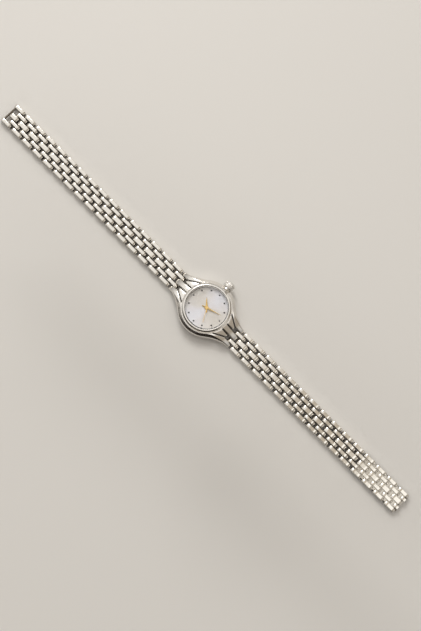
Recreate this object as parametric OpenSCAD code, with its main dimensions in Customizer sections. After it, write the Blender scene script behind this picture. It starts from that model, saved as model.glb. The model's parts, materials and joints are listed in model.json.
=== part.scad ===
// Ladies' quartz bracelet watch, laid open and flat with its dial up.
// Millimetres. +Z comes out of the dial, +Y points to 12 o'clock, +X to the crown at 3 o'clock.
// The origin is the centre of the case back's outer face.

/* [Case] */
// Width of the case across 3 and 9 o'clock, without the crown
case_w = 19; // [18:0.1:22]
// Distance from the dial's centre to the tips of the outer and centre lugs
lug_reach = 13.9; // [13.5:0.1:15]
// Distance from the dial's centre to the tips of the second lugs
second_lug_reach = 10.9; // [10.6:0.1:11.1]
// Radius of the hollow flank from the case to the lug tip
flank_r = 22; // [18:1:28]
// Length of the lugs' straight tips
lug_straight = 1.6; // [1.3:0.1:2]
// Height of the case's underside above the surface it rests on
case_floor = 0.5; // [0.4:0.05:0.6]
// Height of the case band
case_h = 4.3; // [4.3:0.1:5]
// Rounding of the case's upper edges at 3 and 9 o'clock
shoulder_r = 1.1; // [0.8:0.05:1.2]
// Diameter of the bore that holds the movement
cavity_d = 15.2; // [15.1:0.05:15.5]
// Distance from the dial's centre to where the lugs' tops start to fall
lug_crest = 6; // [5:0.1:7]
// Width of the groove between the bezel and the outer band
groove_w = 0.3; // [0.2:0.05:0.5]
// Depth of that groove
groove_depth = 0.9; // [0.5:0.1:1.5]
// Width of the slots between the lugs
lug_slot_w = 0.35; // [0.25:0.05:0.45]

/* [Case back] */
// Thickness of the case back's plate
back_t = 0.7; // [0.65:0.05:0.9]
// Width of the step that the case back's plate seats on
back_seat_w = 0.35; // [0.25:0.05:0.45]
// Height of the case back's inner rim
back_rim_h = 0.6; // [0.5:0.05:0.7]
// Thickness of the case back's inner rim
back_rim_t = 0.45; // [0.4:0.05:0.5]

/* [Bezel and crystal] */
// Outer diameter of the bezel
bezel_d = 16.1; // [16.1:0.1:16.8]
// Height of the bezel above the case band
bezel_h = 1.2; // [1.1:0.05:1.5]
// Diameter of the crystal
crystal_d = 14; // [13.8:0.1:14.2]
// Thickness of the crystal at its edge
crystal_edge_t = 0.7; // [0.5:0.05:1]
// Rise of the crystal's dome
crystal_dome = 0.25; // [0.1:0.05:0.5]
// Width of the ledge under the crystal
crystal_ledge = 0.15; // [0.1:0.05:0.3]
// Height of the bezel's ledge above the case band, where the crystal seats
crystal_seat_h = 0.9; // [0.85:0.05:1]
// Wall of the crystal's gasket
gasket_t = 0.1; // [0.08:0.01:0.15]

/* [Dial] */
// Thickness of the dial
dial_t = 0.3; // [0.25:0.05:0.35]
// Diameter of the circle of hour markers
marker_circle_d = 11.8; // [11:0.1:12.4]
// Diameter of one hour marker
marker_d = 0.55; // [0.4:0.05:0.7]
// Height of one hour marker
marker_h = 0.18; // [0.1:0.02:0.3]

/* [Hands] */
// Length of the hour hand from its centre
hour_hand_l = 3.5; // [2.5:0.1:4]
// Length of the minute hand from its centre
minute_hand_l = 5.2; // [4.5:0.1:5.8]
// Length of the second hand from its centre
second_hand_l = 5; // [4.5:0.1:5.8]
// Length of the tails of the hour and minute hands
hand_tail = 1.3; // [1:0.1:1.6]
// Greatest width of the hour and minute hands
hand_w = 0.8; // [0.6:0.05:1]
// Width of the second hand
second_hand_w = 0.12; // [0.1:0.01:0.2]
// Thickness of one hand
hand_t = 0.12; // [0.1:0.01:0.14]
// Height of the hour hand above the dial
hand_lift = 0.2; // [0.18:0.01:0.22]
// Step in height from one hand to the next
hand_step = 0.24; // [0.2:0.01:0.26]
// Angle of the hour hand from 12 o'clock, clockwise
hour_hand_angle = 46; // [0:1:360]
// Angle of the minute hand from 12 o'clock, clockwise
minute_hand_angle = 163; // [0:1:360]
// Angle of the second hand from 12 o'clock, clockwise
second_hand_angle = 239; // [0:1:360]

/* [Movement] */
// Diameter of the movement's main plate
plate_d = 13.8; // [13.6:0.1:13.9]
// Thickness of the main plate
plate_t = 1; // [0.95:0.01:1.05]
// Room between the main plate and the dial for the motion work
motion_h = 0.5; // [0.48:0.01:0.52]
// Thickness of the train bridge
bridge_t = 0.4; // [0.3:0.02:0.45]
// Thickness of the wheels
wheel_t = 0.15; // [0.1:0.01:0.17]
// Step in height from one wheel to the next
level_step = 0.28; // [0.26:0.01:0.29]
// Radius of the arbors
arbor_r = 0.12; // [0.1:0.01:0.13]
// Diameter of the battery
battery_d = 4.8; // [4.4:0.1:5]
// Thickness of the battery
battery_t = 1.6; // [1.4:0.05:1.65]
// Diameter of the coil
coil_d = 1.2; // [1:0.05:1.3]
// Length of the coil
coil_l = 5; // [4:0.1:5.4]
// Diameter of the rotor's magnet
rotor_d = 1.3; // [1:0.05:1.4]
// Diameter of the movement's pillars
pillar_d = 1.1; // [0.9:0.05:1.2]
// Diameter of the movement screws
screw_d = 0.4; // [0.3:0.02:0.5]

/* [Gear train] */
// Tooth size of the rotor pinion and the intermediate wheel
rotor_module = 0.05; // [0.045:0.001:0.051]
// Tooth size of the intermediate pinion and the fourth wheel
seconds_module = 0.09; // [0.088:0.001:0.094]
// Tooth size of the third pinion and the centre wheel
centre_module = 0.085; // [0.08:0.001:0.086]
// Tooth size of the minute pinion and the hour wheel
hour_module = 0.08; // [0.076:0.001:0.084]
// Teeth on each of the rotor, intermediate, fourth and third pinions
pinion_teeth = 8; // [8:1:8]
// Teeth on the intermediate and third wheels
great_teeth = 60; // [60:1:60]
// Teeth on the fourth wheel
seconds_teeth = 32; // [32:1:32]
// Teeth on the centre wheel
centre_teeth = 64; // [64:1:64]

/* [Crown] */
// Diameter of the crown
crown_d = 3.5; // [2.8:0.1:3.6]
// Length of the crown
crown_l = 2; // [1.7:0.05:2.2]
// Gap between the case and the crown
crown_gap = 0.15; // [0.1:0.05:0.3]
// How far the crown pulls out
crown_travel = 0.7; // [0.4:0.1:0.8]
// Number of flutes round the crown
crown_flutes = 22; // [16:1:28]
// Diameter of the winding stem
stem_d = 0.7; // [0.6:0.02:0.74]
// Wall of the tube that the stem runs in
tube_wall = 0.35; // [0.3:0.02:0.4]
// Thickness of the crown's seal
crown_seal_t = 0.2; // [0.15:0.01:0.25]

/* [Bracelet] */
// Distance between two pins
pin_pitch = 2.5; // [2.4:0.05:2.8]
// Thickness of the links
link_t = 2.1; // [1.9:0.05:2.2]
// Width of the links in the centre column
centre_link_w = 1.75; // [1.5:0.05:2]
// Width of the links in the second columns
second_link_w = 1.25; // [1.1:0.05:1.4]
// Width of the links in the outer columns
outer_link_w = 1.35; // [1.2:0.05:1.6]
// Gap between neighbouring columns
column_gap = 0.18; // [0.12:0.02:0.3]
// Rounding of the links' long edges
link_edge_r = 0.38; // [0.2:0.02:0.45]
// Diameter of the link pins
pin_d = 0.7; // [0.5:0.05:0.9]
// How far the pin ends lie below the bracelet's sides
pin_inset = 0.12; // [0.05:0.01:0.3]

/* [Clasp] */
// Number of link rows that the clasp's cover spans
cover_rows = 4; // [3:1:4]
// Thickness of the cover's links above the leaf
cover_t = 1; // [0.95:0.01:1.05]
// Thickness of the clasp's leaf
leaf_t = 0.4; // [0.3:0.05:0.5]
// Width of the clasp's leaf
leaf_w = 4.6; // [4:0.1:5.4]
// Length of the clasp's leaf
leaf_l = 14; // [10:0.5:15]
// Width of the leaf's hinge barrel
barrel_w = 2.7; // [2.2:0.1:3.2]
// Diameter of the leaf's hinge barrel
barrel_d = 1.2; // [1.1:0.05:1.3]
// Diameter of the clasp's hinge pin
clasp_pin_d = 0.5; // [0.4:0.05:0.6]
// Diameter of the catch bar at the 12 o'clock end
catch_bar_d = 0.7; // [0.5:0.05:0.8]

/* [Fits] */
// Radial clearance where a pin, arbor or stem turns
turn_clearance = 0.03; // [0.02:0.005:0.04]
// Clearance between parts that are put together and stay still
seat_clearance = 0.05; // [0.03:0.01:0.08]
// Clearance round parts that swing past each other
swing_clearance = 0.1; // [0.08:0.01:0.15]
// Gap between parts that only face each other
face_gap = 0.1; // [0.05:0.01:0.12]

/* [Hidden] */
$fn = 64;
steel = [0.80, 0.79, 0.77];
brass = [0.80, 0.65, 0.30];
gold = [0.86, 0.66, 0.25];

// How far cutting shapes reach past what they cut, and how far joined shapes overlap
cut = 1;
bite = 0.1;

// Heights of the case and what fills it, from the surface up
case_r = case_w / 2;
case_top = case_floor + case_h;
cavity_r = cavity_d / 2;
crystal_z = case_top + crystal_seat_h;
dial_z = case_top - dial_t - face_gap;
plate_top = dial_z - motion_h;
plate_z = plate_top - plate_t;
level_1 = plate_z - 4 * level_step;
level_2 = level_1 + level_step;
level_3 = level_2 + level_step;
level_4 = level_3 + level_step;
bridge_top = level_1 - swing_clearance;
bridge_z = bridge_top - bridge_t;
plate_r = plate_d / 2;
dial_top = dial_z + dial_t;
pivot_low = bridge_z + 0.15;
pivot_high = plate_z + 0.3;

// Heights of the hands
hour_hand_z = dial_top + hand_lift;
minute_hand_z = hour_hand_z + hand_step;
second_hand_z = minute_hand_z + hand_step;

// The bezel and the crystal
bezel_r = bezel_d / 2;
crystal_r = crystal_d / 2;
bezel_bore_r = crystal_r + gasket_t;
ring_bore_r = crystal_r - crystal_ledge;
ring_r = cavity_r - 0.2;

// The case back
back_r = cavity_r + back_seat_w;
back_rim_r = cavity_r - seat_clearance;
back_gasket_z = back_t + 0.2;
back_gasket_h = 0.25;
back_gasket_t = 0.2;

// Gear train: distances between axes and where each axis stands
intermediate_d = seconds_module * (pinion_teeth + seconds_teeth) / 2;
rotor_gap = rotor_module * (pinion_teeth + great_teeth) / 2;
third_d = centre_module * (pinion_teeth + centre_teeth) / 2;
third_module = 2 * third_d / (pinion_teeth + great_teeth);
cannon_teeth = 12;
minute_teeth = 36;
minute_pinion_teeth = 10;
hour_teeth = 40;
minute_d = hour_module * (minute_pinion_teeth + hour_teeth) / 2;
cannon_module = 2 * minute_d / (cannon_teeth + minute_teeth);
motion_wheel_t = wheel_t * 0.8;
cannon_pinion_z = plate_top + 0.03;
minute_wheel_z = plate_top + 0.05;
hour_wheel_z = plate_top + 0.23;
pinion_lip = 0.03;
intermediate_angle = -75;
rotor_angle = -95;
third_angle = 15;
minute_angle = 150;
intermediate_at = polar(intermediate_d, intermediate_angle);
rotor_at = intermediate_at + polar(rotor_gap, rotor_angle);
third_at = polar(third_d, third_angle);
minute_at = polar(minute_d, minute_angle);

// Tubes at the centre of the movement, from the inside out
second_arbor_r = arbor_r;
cannon_bore_r = second_arbor_r + turn_clearance;
cannon_r = cannon_bore_r + 0.22;
hour_bore_r = cannon_r + turn_clearance;
hour_tube_r = hour_bore_r + 0.2;

// Other places in the movement
battery_at = polar(4.17, 136);
battery_r = battery_d / 2;
battery_z = level_4 - 0.07 - battery_t;
battery_gap = 0.15;
pillars_at = [[4.9, 4.0], [4.7, -3.6], [-5.4, -2.7]];
pillar_r = pillar_d / 2;
screw_r = screw_d / 2;
screw_hold = 0.9;
coil_r = coil_d / 2;
coil_y = rotor_at[1] - 1.95;
coil_gap = 0.15;
stator_t = 0.3;
stator_z = level_2;
core_t = 0.25;
core_w = 0.8;
core_l = coil_l + 1.8;
rotor_r = rotor_d / 2;
foot_r = 0.2;
foot_x = plate_r - 0.3;
foot_y = -2;
board_t = 0.2;
quartz_r = 0.6;
quartz_l = 3.6;
quartz_at = [1.6, 5.15];

// The crown and the stem
stem_z = plate_z + plate_t / 2;
stem_r = stem_d / 2;
tube_bore_r = stem_r + turn_clearance;
tube_r = tube_bore_r + tube_wall;
crown_r = crown_d / 2;
crown_x = case_r + crown_gap;
tube_reach = crown_travel + 0.55;
crown_bore_r = tube_r + crown_seal_t;
crown_bore_l = tube_reach + swing_clearance - crown_gap;
stem_seat_l = 0.25;
stem_in = 3.6;
lever_x = 4.95;
lever_w = 1.5;
lever_t = 0.22;
neck_r = stem_r * 0.6;
neck_gap = 0.02;

// The bracelet: columns across, pins along
link_r = link_t / 2;
pin_r = pin_d / 2;
pin_bore_r = pin_r + turn_clearance;
second_x = centre_link_w / 2 + column_gap + second_link_w / 2;
outer_x = second_x + second_link_w / 2 + column_gap + outer_link_w / 2;
band_w = 2 * outer_x + outer_link_w;
first_pin = lug_reach - link_r;
upper_rows = 16;
lower_rows = 15;
hinged_lower_rows = lower_rows - cover_rows;
middle_columns = [[0, centre_link_w], [-outer_x, outer_link_w], [outer_x, outer_link_w]];
second_columns = [[-second_x, second_link_w], [second_x, second_link_w]];

// The lugs and the slots between them
lug_half = band_w / 2 + 0.1;
lug_pocket_in = centre_link_w / 2 + 0.03;
lug_pocket_out = outer_x - outer_link_w / 2 - 0.03;
flank_bite = 0.05;
flank_reach = case_r + flank_r - flank_bite;
flank_end = lug_reach - lug_straight;
tip_d = norm([lug_half, flank_end]);
flank_cos = (flank_reach * flank_reach + tip_d * tip_d - flank_r * flank_r) / (2 * flank_reach * tip_d);
flank_angle = atan2(flank_end, lug_half) - acos(flank_cos);
flank_at = polar(flank_reach, flank_angle);
flank_edge = polar(case_r + cut, flank_angle);
slot_end_r = bezel_r + groove_w / 2;
slot_end_angle = 52;

// Seen from the side, the lug's top falls in an arc that touches the flat top and the round lug tip
fall_dy = first_pin - lug_crest;
fall_dz = case_top - link_r;
fall_r = (fall_dy * fall_dy + fall_dz * fall_dz - link_r * link_r) / (2 * (fall_dz - link_r));
fall_at = [lug_crest, case_top - fall_r];
fall_angle = atan2(link_r - fall_at[1], fall_dy);

// The clasp
cover_start = first_pin + 2 * pin_pitch * hinged_lower_rows;
cover_end = first_pin + 2 * pin_pitch * lower_rows + link_r;
cover_z = link_t - cover_t;
barrel_r = barrel_d / 2;
leaf_z = 0.06;
barrel_z = leaf_z + barrel_r;
barrel_y = cover_end - barrel_r / 2;
clasp_pin_r = clasp_pin_d / 2;
catch_bar_r = catch_bar_d / 2;
catch_bar_y = first_pin + 2 * pin_pitch * upper_rows + 0.3;

// A point at a distance and an angle from the centre
function polar(d, a) = [d * cos(a), d * sin(a)];

// Distance from the dial's centre to pin i of one half of the bracelet; pin 0 is the lug's
function pin_y(i) = first_pin + pin_pitch * i;

// Solid of a side view (Y, Z), w wide along X
module along_x(w) {
    rotate([90, 0, 90]) linear_extrude(height = w, center = true) children();
}

// Solid of an end view (X, Z), l long along Y
module along_y(l) {
    rotate([90, 0, 0]) linear_extrude(height = l, center = true) children();
}

// Round bar along X
module bar_x(r, w, y, z) {
    translate([0, y, z]) rotate([0, 90, 0]) cylinder(r = r, h = w, center = true);
}

// Flat ring that stands on height z
module ring(ro, ri, z, h) {
    translate([0, 0, z]) difference() {
        cylinder(r = ro, h = h);
        translate([0, 0, -cut]) cylinder(r = ri, h = h + 2 * cut);
    }
}

// Toothed outline with one tooth centred on angle a
module teeth(n, m, a = 0) {
    pitch = 360 / n;
    root = m * n / 2 - 1.15 * m;
    tip = m * n / 2 + 0.9 * m;
    polygon([for (i = [0 : n - 1], p = [[root, -0.28], [tip, -0.1], [tip, 0.1], [root, 0.28]])
        polar(p[0], a + (i + p[1]) * pitch)]);
}

// Spoked wheel: toothed rim, hub and four arms
module wheel(n, m, z, a, hub_r) {
    arm_w = 0.25;
    rim = m * n / 2 - 3.2 * m;
    translate([0, 0, z]) linear_extrude(wheel_t) {
        difference() {
            teeth(n, m, a);
            circle(r = rim);
        }
        circle(r = hub_r);
        for (k = [0 : 1]) rotate(90 * k) square([2 * rim + m, arm_w], center = true);
    }
}

// Pinion from height z0 to z1
module pinion(n, m, z0, z1, a) {
    translate([0, 0, z0]) linear_extrude(z1 - z0) teeth(n, m, a);
}

// Round arbor from height z0 to z1
module arbor(r, z0, z1) {
    translate([0, 0, z0]) cylinder(r = r, h = z1 - z0);
}

// Plan of the case: a round middle with hollow flanks that run out to the lugs
module case_plan() {
    circle(r = case_r, $fn = 128);
    for (s = [0, 1]) mirror([0, s]) difference() {
        polygon([[0, 0], flank_edge, [lug_half, flank_end], [lug_half, lug_reach + cut],
            [-lug_half, lug_reach + cut], [-lug_half, flank_end], [-flank_edge[0], flank_edge[1]]]);
        for (t = [-1, 1]) intersection() {
            translate([t * flank_at[0], flank_at[1]]) circle(r = flank_r, $fn = 128);
            translate([-flank_r, 0]) square([2 * flank_r, flank_end]);
        }
    }
}

// Side view of the case: flat top, lugs that fall to the bracelet's height, round tips
module case_side() {
    flat_r = back_r + 0.4;
    past_tip = fall_at + polar(fall_r + cut, fall_angle);
    polygon([[-lug_crest, case_floor], [lug_crest, case_floor], [lug_crest, case_top],
        [-lug_crest, case_top]]);
    for (s = [0, 1]) mirror([s, 0]) {
        intersection() {
            polygon([[lug_crest, case_floor], [flat_r, case_floor], [first_pin, 0],
                [first_pin, link_r], past_tip, [lug_crest, case_top + cut]]);
            translate(fall_at) circle(r = fall_r, $fn = 256);
        }
        translate([first_pin, link_r]) circle(r = link_r);
    }
}

// End view of the case: rounded shoulders at 3 and 9 o'clock
module case_end() {
    translate([-case_r, 0]) square([case_w, case_top - shoulder_r]);
    translate([-case_r + shoulder_r, 0]) square([case_w - 2 * shoulder_r, case_top]);
    for (s = [-1, 1]) translate([s * (case_r - shoulder_r), case_top - shoulder_r]) circle(r = shoulder_r);
}

// Plan of everything that is cut from one end of the case to part its five lugs
module lug_cuts() {
    slot_in = polar(slot_end_r, slot_end_angle);
    pocket_w = lug_pocket_out - lug_pocket_in;
    for (t = [0, 1]) mirror([t, 0]) {
        translate([lug_pocket_in, second_lug_reach]) square([pocket_w, lug_reach]);
        translate([lug_pocket_in, slot_end_r]) square([lug_slot_w, lug_reach - slot_end_r]);
        polygon([[lug_pocket_out, second_lug_reach + cut / 2], [lug_pocket_out, second_lug_reach],
            slot_in, slot_in - [lug_slot_w, 0], [lug_pocket_out - lug_slot_w, second_lug_reach],
            [lug_pocket_out - lug_slot_w, second_lug_reach + cut / 2]]);
    }
}

module case_body() {
    tube_x = cavity_r + 0.5;
    color(steel) {
        difference() {
            intersection() {
                translate([0, 0, -cut]) linear_extrude(case_top + 2 * cut) case_plan();
                along_x(case_w + cut) case_side();
                along_y(2 * lug_reach + cut) case_end();
            }
            translate([0, 0, -cut]) cylinder(r = cavity_r, h = case_top + 2 * cut);
            translate([0, 0, -cut]) cylinder(r = back_r + seat_clearance, h = back_t + cut);
            ring(bezel_r + groove_w, bezel_r, case_top - groove_depth, groove_depth + cut);
            for (s = [0, 1]) mirror([0, s, 0])
                translate([0, 0, -cut]) linear_extrude(case_top + 2 * cut) lug_cuts();
            for (s = [-1, 1]) bar_x(pin_bore_r, band_w + cut, s * first_pin, link_r);
            translate([cavity_r - cut, 0, stem_z]) rotate([0, 90, 0]) cylinder(r = tube_bore_r, h = case_w);
        }
        difference() {
            translate([tube_x, 0, stem_z]) rotate([0, 90, 0])
                cylinder(r = tube_r, h = case_r + tube_reach - tube_x);
            translate([cavity_r, 0, stem_z]) rotate([0, 90, 0]) cylinder(r = tube_bore_r, h = case_w);
        }
    }
}

module case_back() {
    notch_w = 1.6;
    notch_depth = 0.3;
    notch_z = case_floor - 0.1;
    color(steel) difference() {
        union() {
            cylinder(r = back_r, h = back_t, $fn = 96);
            ring(back_rim_r, back_rim_r - back_rim_t, back_t, back_rim_h);
        }
        ring(back_rim_r + cut, cavity_r - back_gasket_t, back_gasket_z, back_gasket_h);
        translate([-back_r - cut, -notch_w / 2, notch_z]) cube([cut + notch_depth, notch_w, back_t]);
    }
}

module case_back_gasket() {
    color("#2a2a2c") ring(cavity_r, cavity_r - back_gasket_t, back_gasket_z, back_gasket_h);
}

module bezel() {
    bead_r = 0.42;
    step_h = 0.15;
    top = case_top + bezel_h;
    bead_x = bezel_r - bead_r;
    color(steel) rotate_extrude($fn = 128) difference() {
        union() {
            translate([ring_bore_r, case_top]) square([bezel_r - ring_bore_r, bezel_h - bead_r]);
            translate([bead_x, top - bead_r]) circle(r = bead_r);
            translate([ring_bore_r, case_top]) square([bead_x - ring_bore_r, bezel_h - step_h]);
        }
        translate([0, crystal_z]) square([bezel_bore_r, bezel_h + cut]);
        translate([0, case_top - cut]) square([ring_r, crystal_seat_h - face_gap + cut]);
    }
}

module crystal() {
    dome_r = (crystal_r * crystal_r + crystal_dome * crystal_dome) / (2 * crystal_dome);
    top = crystal_edge_t + crystal_dome;
    color([0.85, 0.9, 0.95, 0.35]) translate([0, 0, crystal_z]) rotate_extrude($fn = 128) intersection() {
        square([crystal_r, top + cut]);
        translate([0, top - dome_r]) circle(r = dome_r, $fn = 2400);
    }
}

module crystal_gasket() {
    color("white") ring(bezel_bore_r, crystal_r, crystal_z, bezel_h - crystal_seat_h - face_gap);
}

module dial_ring() {
    lower_bore_r = ring_bore_r - 0.1;
    top = crystal_z - face_gap;
    color(steel) rotate_extrude($fn = 128)
        polygon([[lower_bore_r, dial_top], [ring_r, dial_top], [ring_r, top], [ring_bore_r, top]]);
}

module dial() {
    foot_h = motion_h - face_gap;
    color([0.93, 0.93, 0.94]) {
        difference() {
            translate([0, 0, dial_z]) cylinder(r = ring_r, h = dial_t, $fn = 128);
            arbor(hour_tube_r + swing_clearance, dial_z - cut, dial_top + cut);
        }
        for (s = [-1, 1]) translate([s * foot_x, foot_y, dial_z - foot_h]) cylinder(r = foot_r, h = foot_h);
    }
}

module hour_markers() {
    base_h = marker_h * 0.6;
    top_r = marker_d * 0.36;
    color("#3a3836") for (k = [0 : 11]) rotate(30 * k)
        translate([0, marker_circle_d / 2, dial_top]) {
            cylinder(r = marker_d / 2, h = base_h);
            translate([0, 0, base_h]) cylinder(r = top_r, h = marker_h - base_h);
        }
}

module movement_ring() {
    ring_z = back_t + back_rim_h + seat_clearance;
    color("white") difference() {
        ring(cavity_r - seat_clearance, plate_r + seat_clearance, ring_z, dial_z - ring_z);
        translate([0, 0, stem_z]) rotate([0, 90, 0]) arbor(tube_bore_r + swing_clearance, 0, case_r);
    }
}

module main_plate() {
    rim_w = 0.7;
    battery_top = battery_z + battery_t;
    lever_slot_l = lever_t + crown_travel + 2 * swing_clearance;
    lever_slot_w = lever_w + 2 * swing_clearance;
    color([0.76, 0.72, 0.62]) difference() {
        union() {
            translate([0, 0, plate_z]) cylinder(r = plate_r, h = plate_t, $fn = 96);
            ring(plate_r, plate_r - rim_w, plate_top, motion_h);
            for (p = pillars_at) translate([p[0], p[1], bridge_top])
                cylinder(r = pillar_r, h = plate_z - bridge_top + bite);
            difference() {
                translate([battery_at[0], battery_at[1], battery_top])
                    cylinder(r = battery_r - 0.3, h = plate_z - battery_top + bite);
                translate([0, 0, bridge_top]) cylinder(r = third_d - arbor_r, h = plate_z - bridge_top);
            }
            translate([minute_at[0], minute_at[1], 0]) arbor(arbor_r, plate_top, dial_z - face_gap);
        }
        translate([0, 0, plate_z - cut]) cylinder(r = cannon_r + turn_clearance, h = plate_t + 2 * cut);
        for (p = [rotor_at, third_at]) translate([p[0], p[1], plate_z - cut])
            cylinder(r = arbor_r + turn_clearance, h = plate_t / 2 + cut);
        for (s = [-1, 1]) translate([s * foot_x, foot_y, plate_top + seat_clearance])
            cylinder(r = foot_r + seat_clearance, h = motion_h + cut);
        for (p = pillars_at) translate([p[0], p[1], bridge_top - cut])
            cylinder(r = screw_r, h = cut + screw_hold);
        translate([stem_in - swing_clearance, 0, stem_z]) rotate([0, 90, 0])
            cylinder(r = tube_bore_r, h = case_r);
        translate([lever_x - swing_clearance, -lever_slot_w / 2, plate_z - cut])
            cube([lever_slot_l, lever_slot_w, cut + plate_t - face_gap]);
    }
}

module train_bridge() {
    bridge_r = plate_r - 0.3;
    window_w = core_l + 2 * coil_gap;
    pivot_floor = 0.1;
    color([0.82, 0.78, 0.66]) {
        difference() {
            translate([0, 0, bridge_z]) linear_extrude(bridge_t) difference() {
                circle(r = bridge_r, $fn = 96);
                translate(battery_at) circle(r = battery_r + battery_gap);
                translate([-window_w / 2, -plate_r])
                    square([window_w, plate_r + coil_y + coil_r + coil_gap]);
            }
            for (p = [[0, 0], rotor_at, third_at]) translate([p[0], p[1], 0])
                arbor(arbor_r + turn_clearance, bridge_z + pivot_floor, bridge_top + cut);
            for (p = pillars_at) translate([p[0], p[1], 0]) arbor(screw_r, bridge_z - cut, bridge_top + cut);
        }
        translate([intermediate_at[0], intermediate_at[1], 0])
            arbor(arbor_r, bridge_top, level_2 + wheel_t + pinion_lip);
    }
}

module circuit_board() {
    board_z = bridge_z - board_t;
    board_r = plate_r - 0.5;
    corner = [-1.2, -3];
    chip = [1.6, 1.6, board_t];
    chip_at = [1.4, -1.2];
    color("#2f6b3f") translate([0, 0, board_z]) linear_extrude(board_t) difference() {
        intersection() {
            circle(r = board_r, $fn = 96);
            translate(corner) square(2 * board_r);
        }
        translate(battery_at) circle(r = battery_r + battery_gap);
        for (p = pillars_at) translate(p) circle(r = pillar_r);
    }
    color("#2a2a2c") translate([chip_at[0], chip_at[1], board_z - board_t]) cube(chip);
    color("silver") translate([quartz_at[0], quartz_at[1], bridge_top + quartz_r]) rotate([0, 90, 0])
        cylinder(r = quartz_r, h = quartz_l, center = true);
}

module coil() {
    core_z = stator_z - core_t;
    color("#b06a3a") difference() {
        translate([0, coil_y, core_z + core_t / 2]) rotate([0, 90, 0])
            cylinder(r = coil_r, h = coil_l, center = true);
        translate([-core_l / 2, coil_y - core_w / 2, core_z]) cube([core_l, core_w, core_t]);
    }
    color("gray") translate([-core_l / 2, coil_y - core_w / 2, core_z]) cube([core_l, core_w, core_t]);
}

module stator() {
    air_gap = 0.12;
    foot_w = (core_l - coil_l) / 2 - 0.1;
    side = core_l / 2;
    inner = side - foot_w;
    low = coil_y - core_w / 2;
    yoke_low = coil_y + coil_r + coil_gap;
    yoke_top = rotor_at[1] + 1.1;
    color("gray") translate([0, 0, stator_z]) linear_extrude(stator_t) difference() {
        polygon([[-side, low], [-inner, low], [-inner, yoke_low], [inner, yoke_low],
            [inner, low], [side, low], [side, yoke_top], [-side, yoke_top]]);
        translate(rotor_at) circle(r = rotor_r + air_gap);
    }
}

module rotor() {
    color("dimgray") translate([rotor_at[0], rotor_at[1], 0]) {
        arbor(arbor_r, pivot_low, pivot_high);
        pinion(pinion_teeth, rotor_module, level_1 - pinion_lip, level_1 + wheel_t + pinion_lip,
            rotor_angle + 180);
        arbor(rotor_r, stator_z, stator_z + stator_t);
    }
}

module battery() {
    cap_h = 0.25;
    cap_r = battery_r - 0.35;
    color("silver") translate([battery_at[0], battery_at[1], battery_z]) {
        cylinder(r = cap_r, h = cap_h);
        translate([0, 0, cap_h]) cylinder(r = battery_r, h = battery_t - cap_h);
    }
}

module intermediate_wheel() {
    hub_r = 0.5;
    color(brass) translate([intermediate_at[0], intermediate_at[1], 0]) difference() {
        union() {
            wheel(great_teeth, rotor_module, level_1, rotor_angle + 180 / great_teeth, hub_r);
            pinion(pinion_teeth, seconds_module, level_1 + wheel_t / 2, level_2 + wheel_t + pinion_lip,
                intermediate_angle + 180);
        }
        arbor(arbor_r + turn_clearance, level_1 - cut, level_3);
    }
}

module fourth_wheel() {
    hub_r = 0.4;
    color(brass) {
        arbor(second_arbor_r, pivot_low, second_hand_z + hand_t / 2);
        wheel(seconds_teeth, seconds_module, level_2, intermediate_angle + 180 / seconds_teeth, hub_r);
        pinion(pinion_teeth, third_module, level_2 + wheel_t / 2, level_3 + wheel_t + pinion_lip,
            third_angle);
    }
}

module third_wheel() {
    hub_r = 0.5;
    color(brass) translate([third_at[0], third_at[1], 0]) {
        arbor(arbor_r, pivot_low, pivot_high);
        wheel(great_teeth, third_module, level_3, third_angle + 180 + 180 / great_teeth, hub_r);
        pinion(pinion_teeth, centre_module, level_3 + wheel_t / 2, level_4 + wheel_t + pinion_lip,
            third_angle + 180);
    }
}

module centre_wheel() {
    hub_r = 0.7;
    color(brass) difference() {
        union() {
            wheel(centre_teeth, centre_module, level_4, third_angle + 180 / centre_teeth, hub_r);
            arbor(cannon_r, level_4, minute_hand_z + hand_t);
            pinion(cannon_teeth, cannon_module, cannon_pinion_z, cannon_pinion_z + wheel_t, minute_angle);
        }
        arbor(cannon_bore_r, level_4 - cut, minute_hand_z + cut);
    }
}

module minute_wheel() {
    color(brass) translate([minute_at[0], minute_at[1], 0]) difference() {
        union() {
            translate([0, 0, minute_wheel_z]) linear_extrude(motion_wheel_t)
                teeth(minute_teeth, cannon_module, minute_angle + 180 + 180 / minute_teeth);
            pinion(minute_pinion_teeth, hour_module, minute_wheel_z,
                hour_wheel_z + motion_wheel_t + pinion_lip, minute_angle + 180);
        }
        arbor(arbor_r + turn_clearance, plate_top - cut, dial_z + cut);
    }
}

module hour_wheel() {
    color(brass) difference() {
        union() {
            translate([0, 0, hour_wheel_z]) linear_extrude(motion_wheel_t)
                teeth(hour_teeth, hour_module, minute_angle + 180 / hour_teeth);
            arbor(hour_tube_r, hour_wheel_z, hour_hand_z + hand_t);
        }
        arbor(hour_bore_r, plate_top, hour_hand_z + cut);
    }
}

// Tapered hand with a ridge down its middle, tip at distance l, tail at distance tail
module ridged_hand(l, tail, w, z, bore) {
    shoulder = w * 0.3;
    tail_w = w * 0.3;
    edge_t = hand_t * 0.3;
    hub_wall = 0.18;
    color(gold) translate([0, 0, z]) difference() {
        union() {
            intersection() {
                linear_extrude(hand_t) polygon([[0, l], [w / 2, shoulder], [tail_w / 2, -tail],
                    [-tail_w / 2, -tail], [-w / 2, shoulder]]);
                translate([0, (l - tail) / 2, 0]) along_y(l + tail + cut)
                    polygon([[-w / 2, 0], [w / 2, 0], [w / 2, edge_t], [0, hand_t], [-w / 2, edge_t]]);
            }
            cylinder(r = bore + hub_wall, h = hand_t);
        }
        translate([0, 0, -cut]) cylinder(r = bore, h = hand_t + 2 * cut);
    }
}

module hour_hand() {
    rotate(-hour_hand_angle) ridged_hand(hour_hand_l, hand_tail, hand_w, hour_hand_z, hour_tube_r);
}

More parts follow.
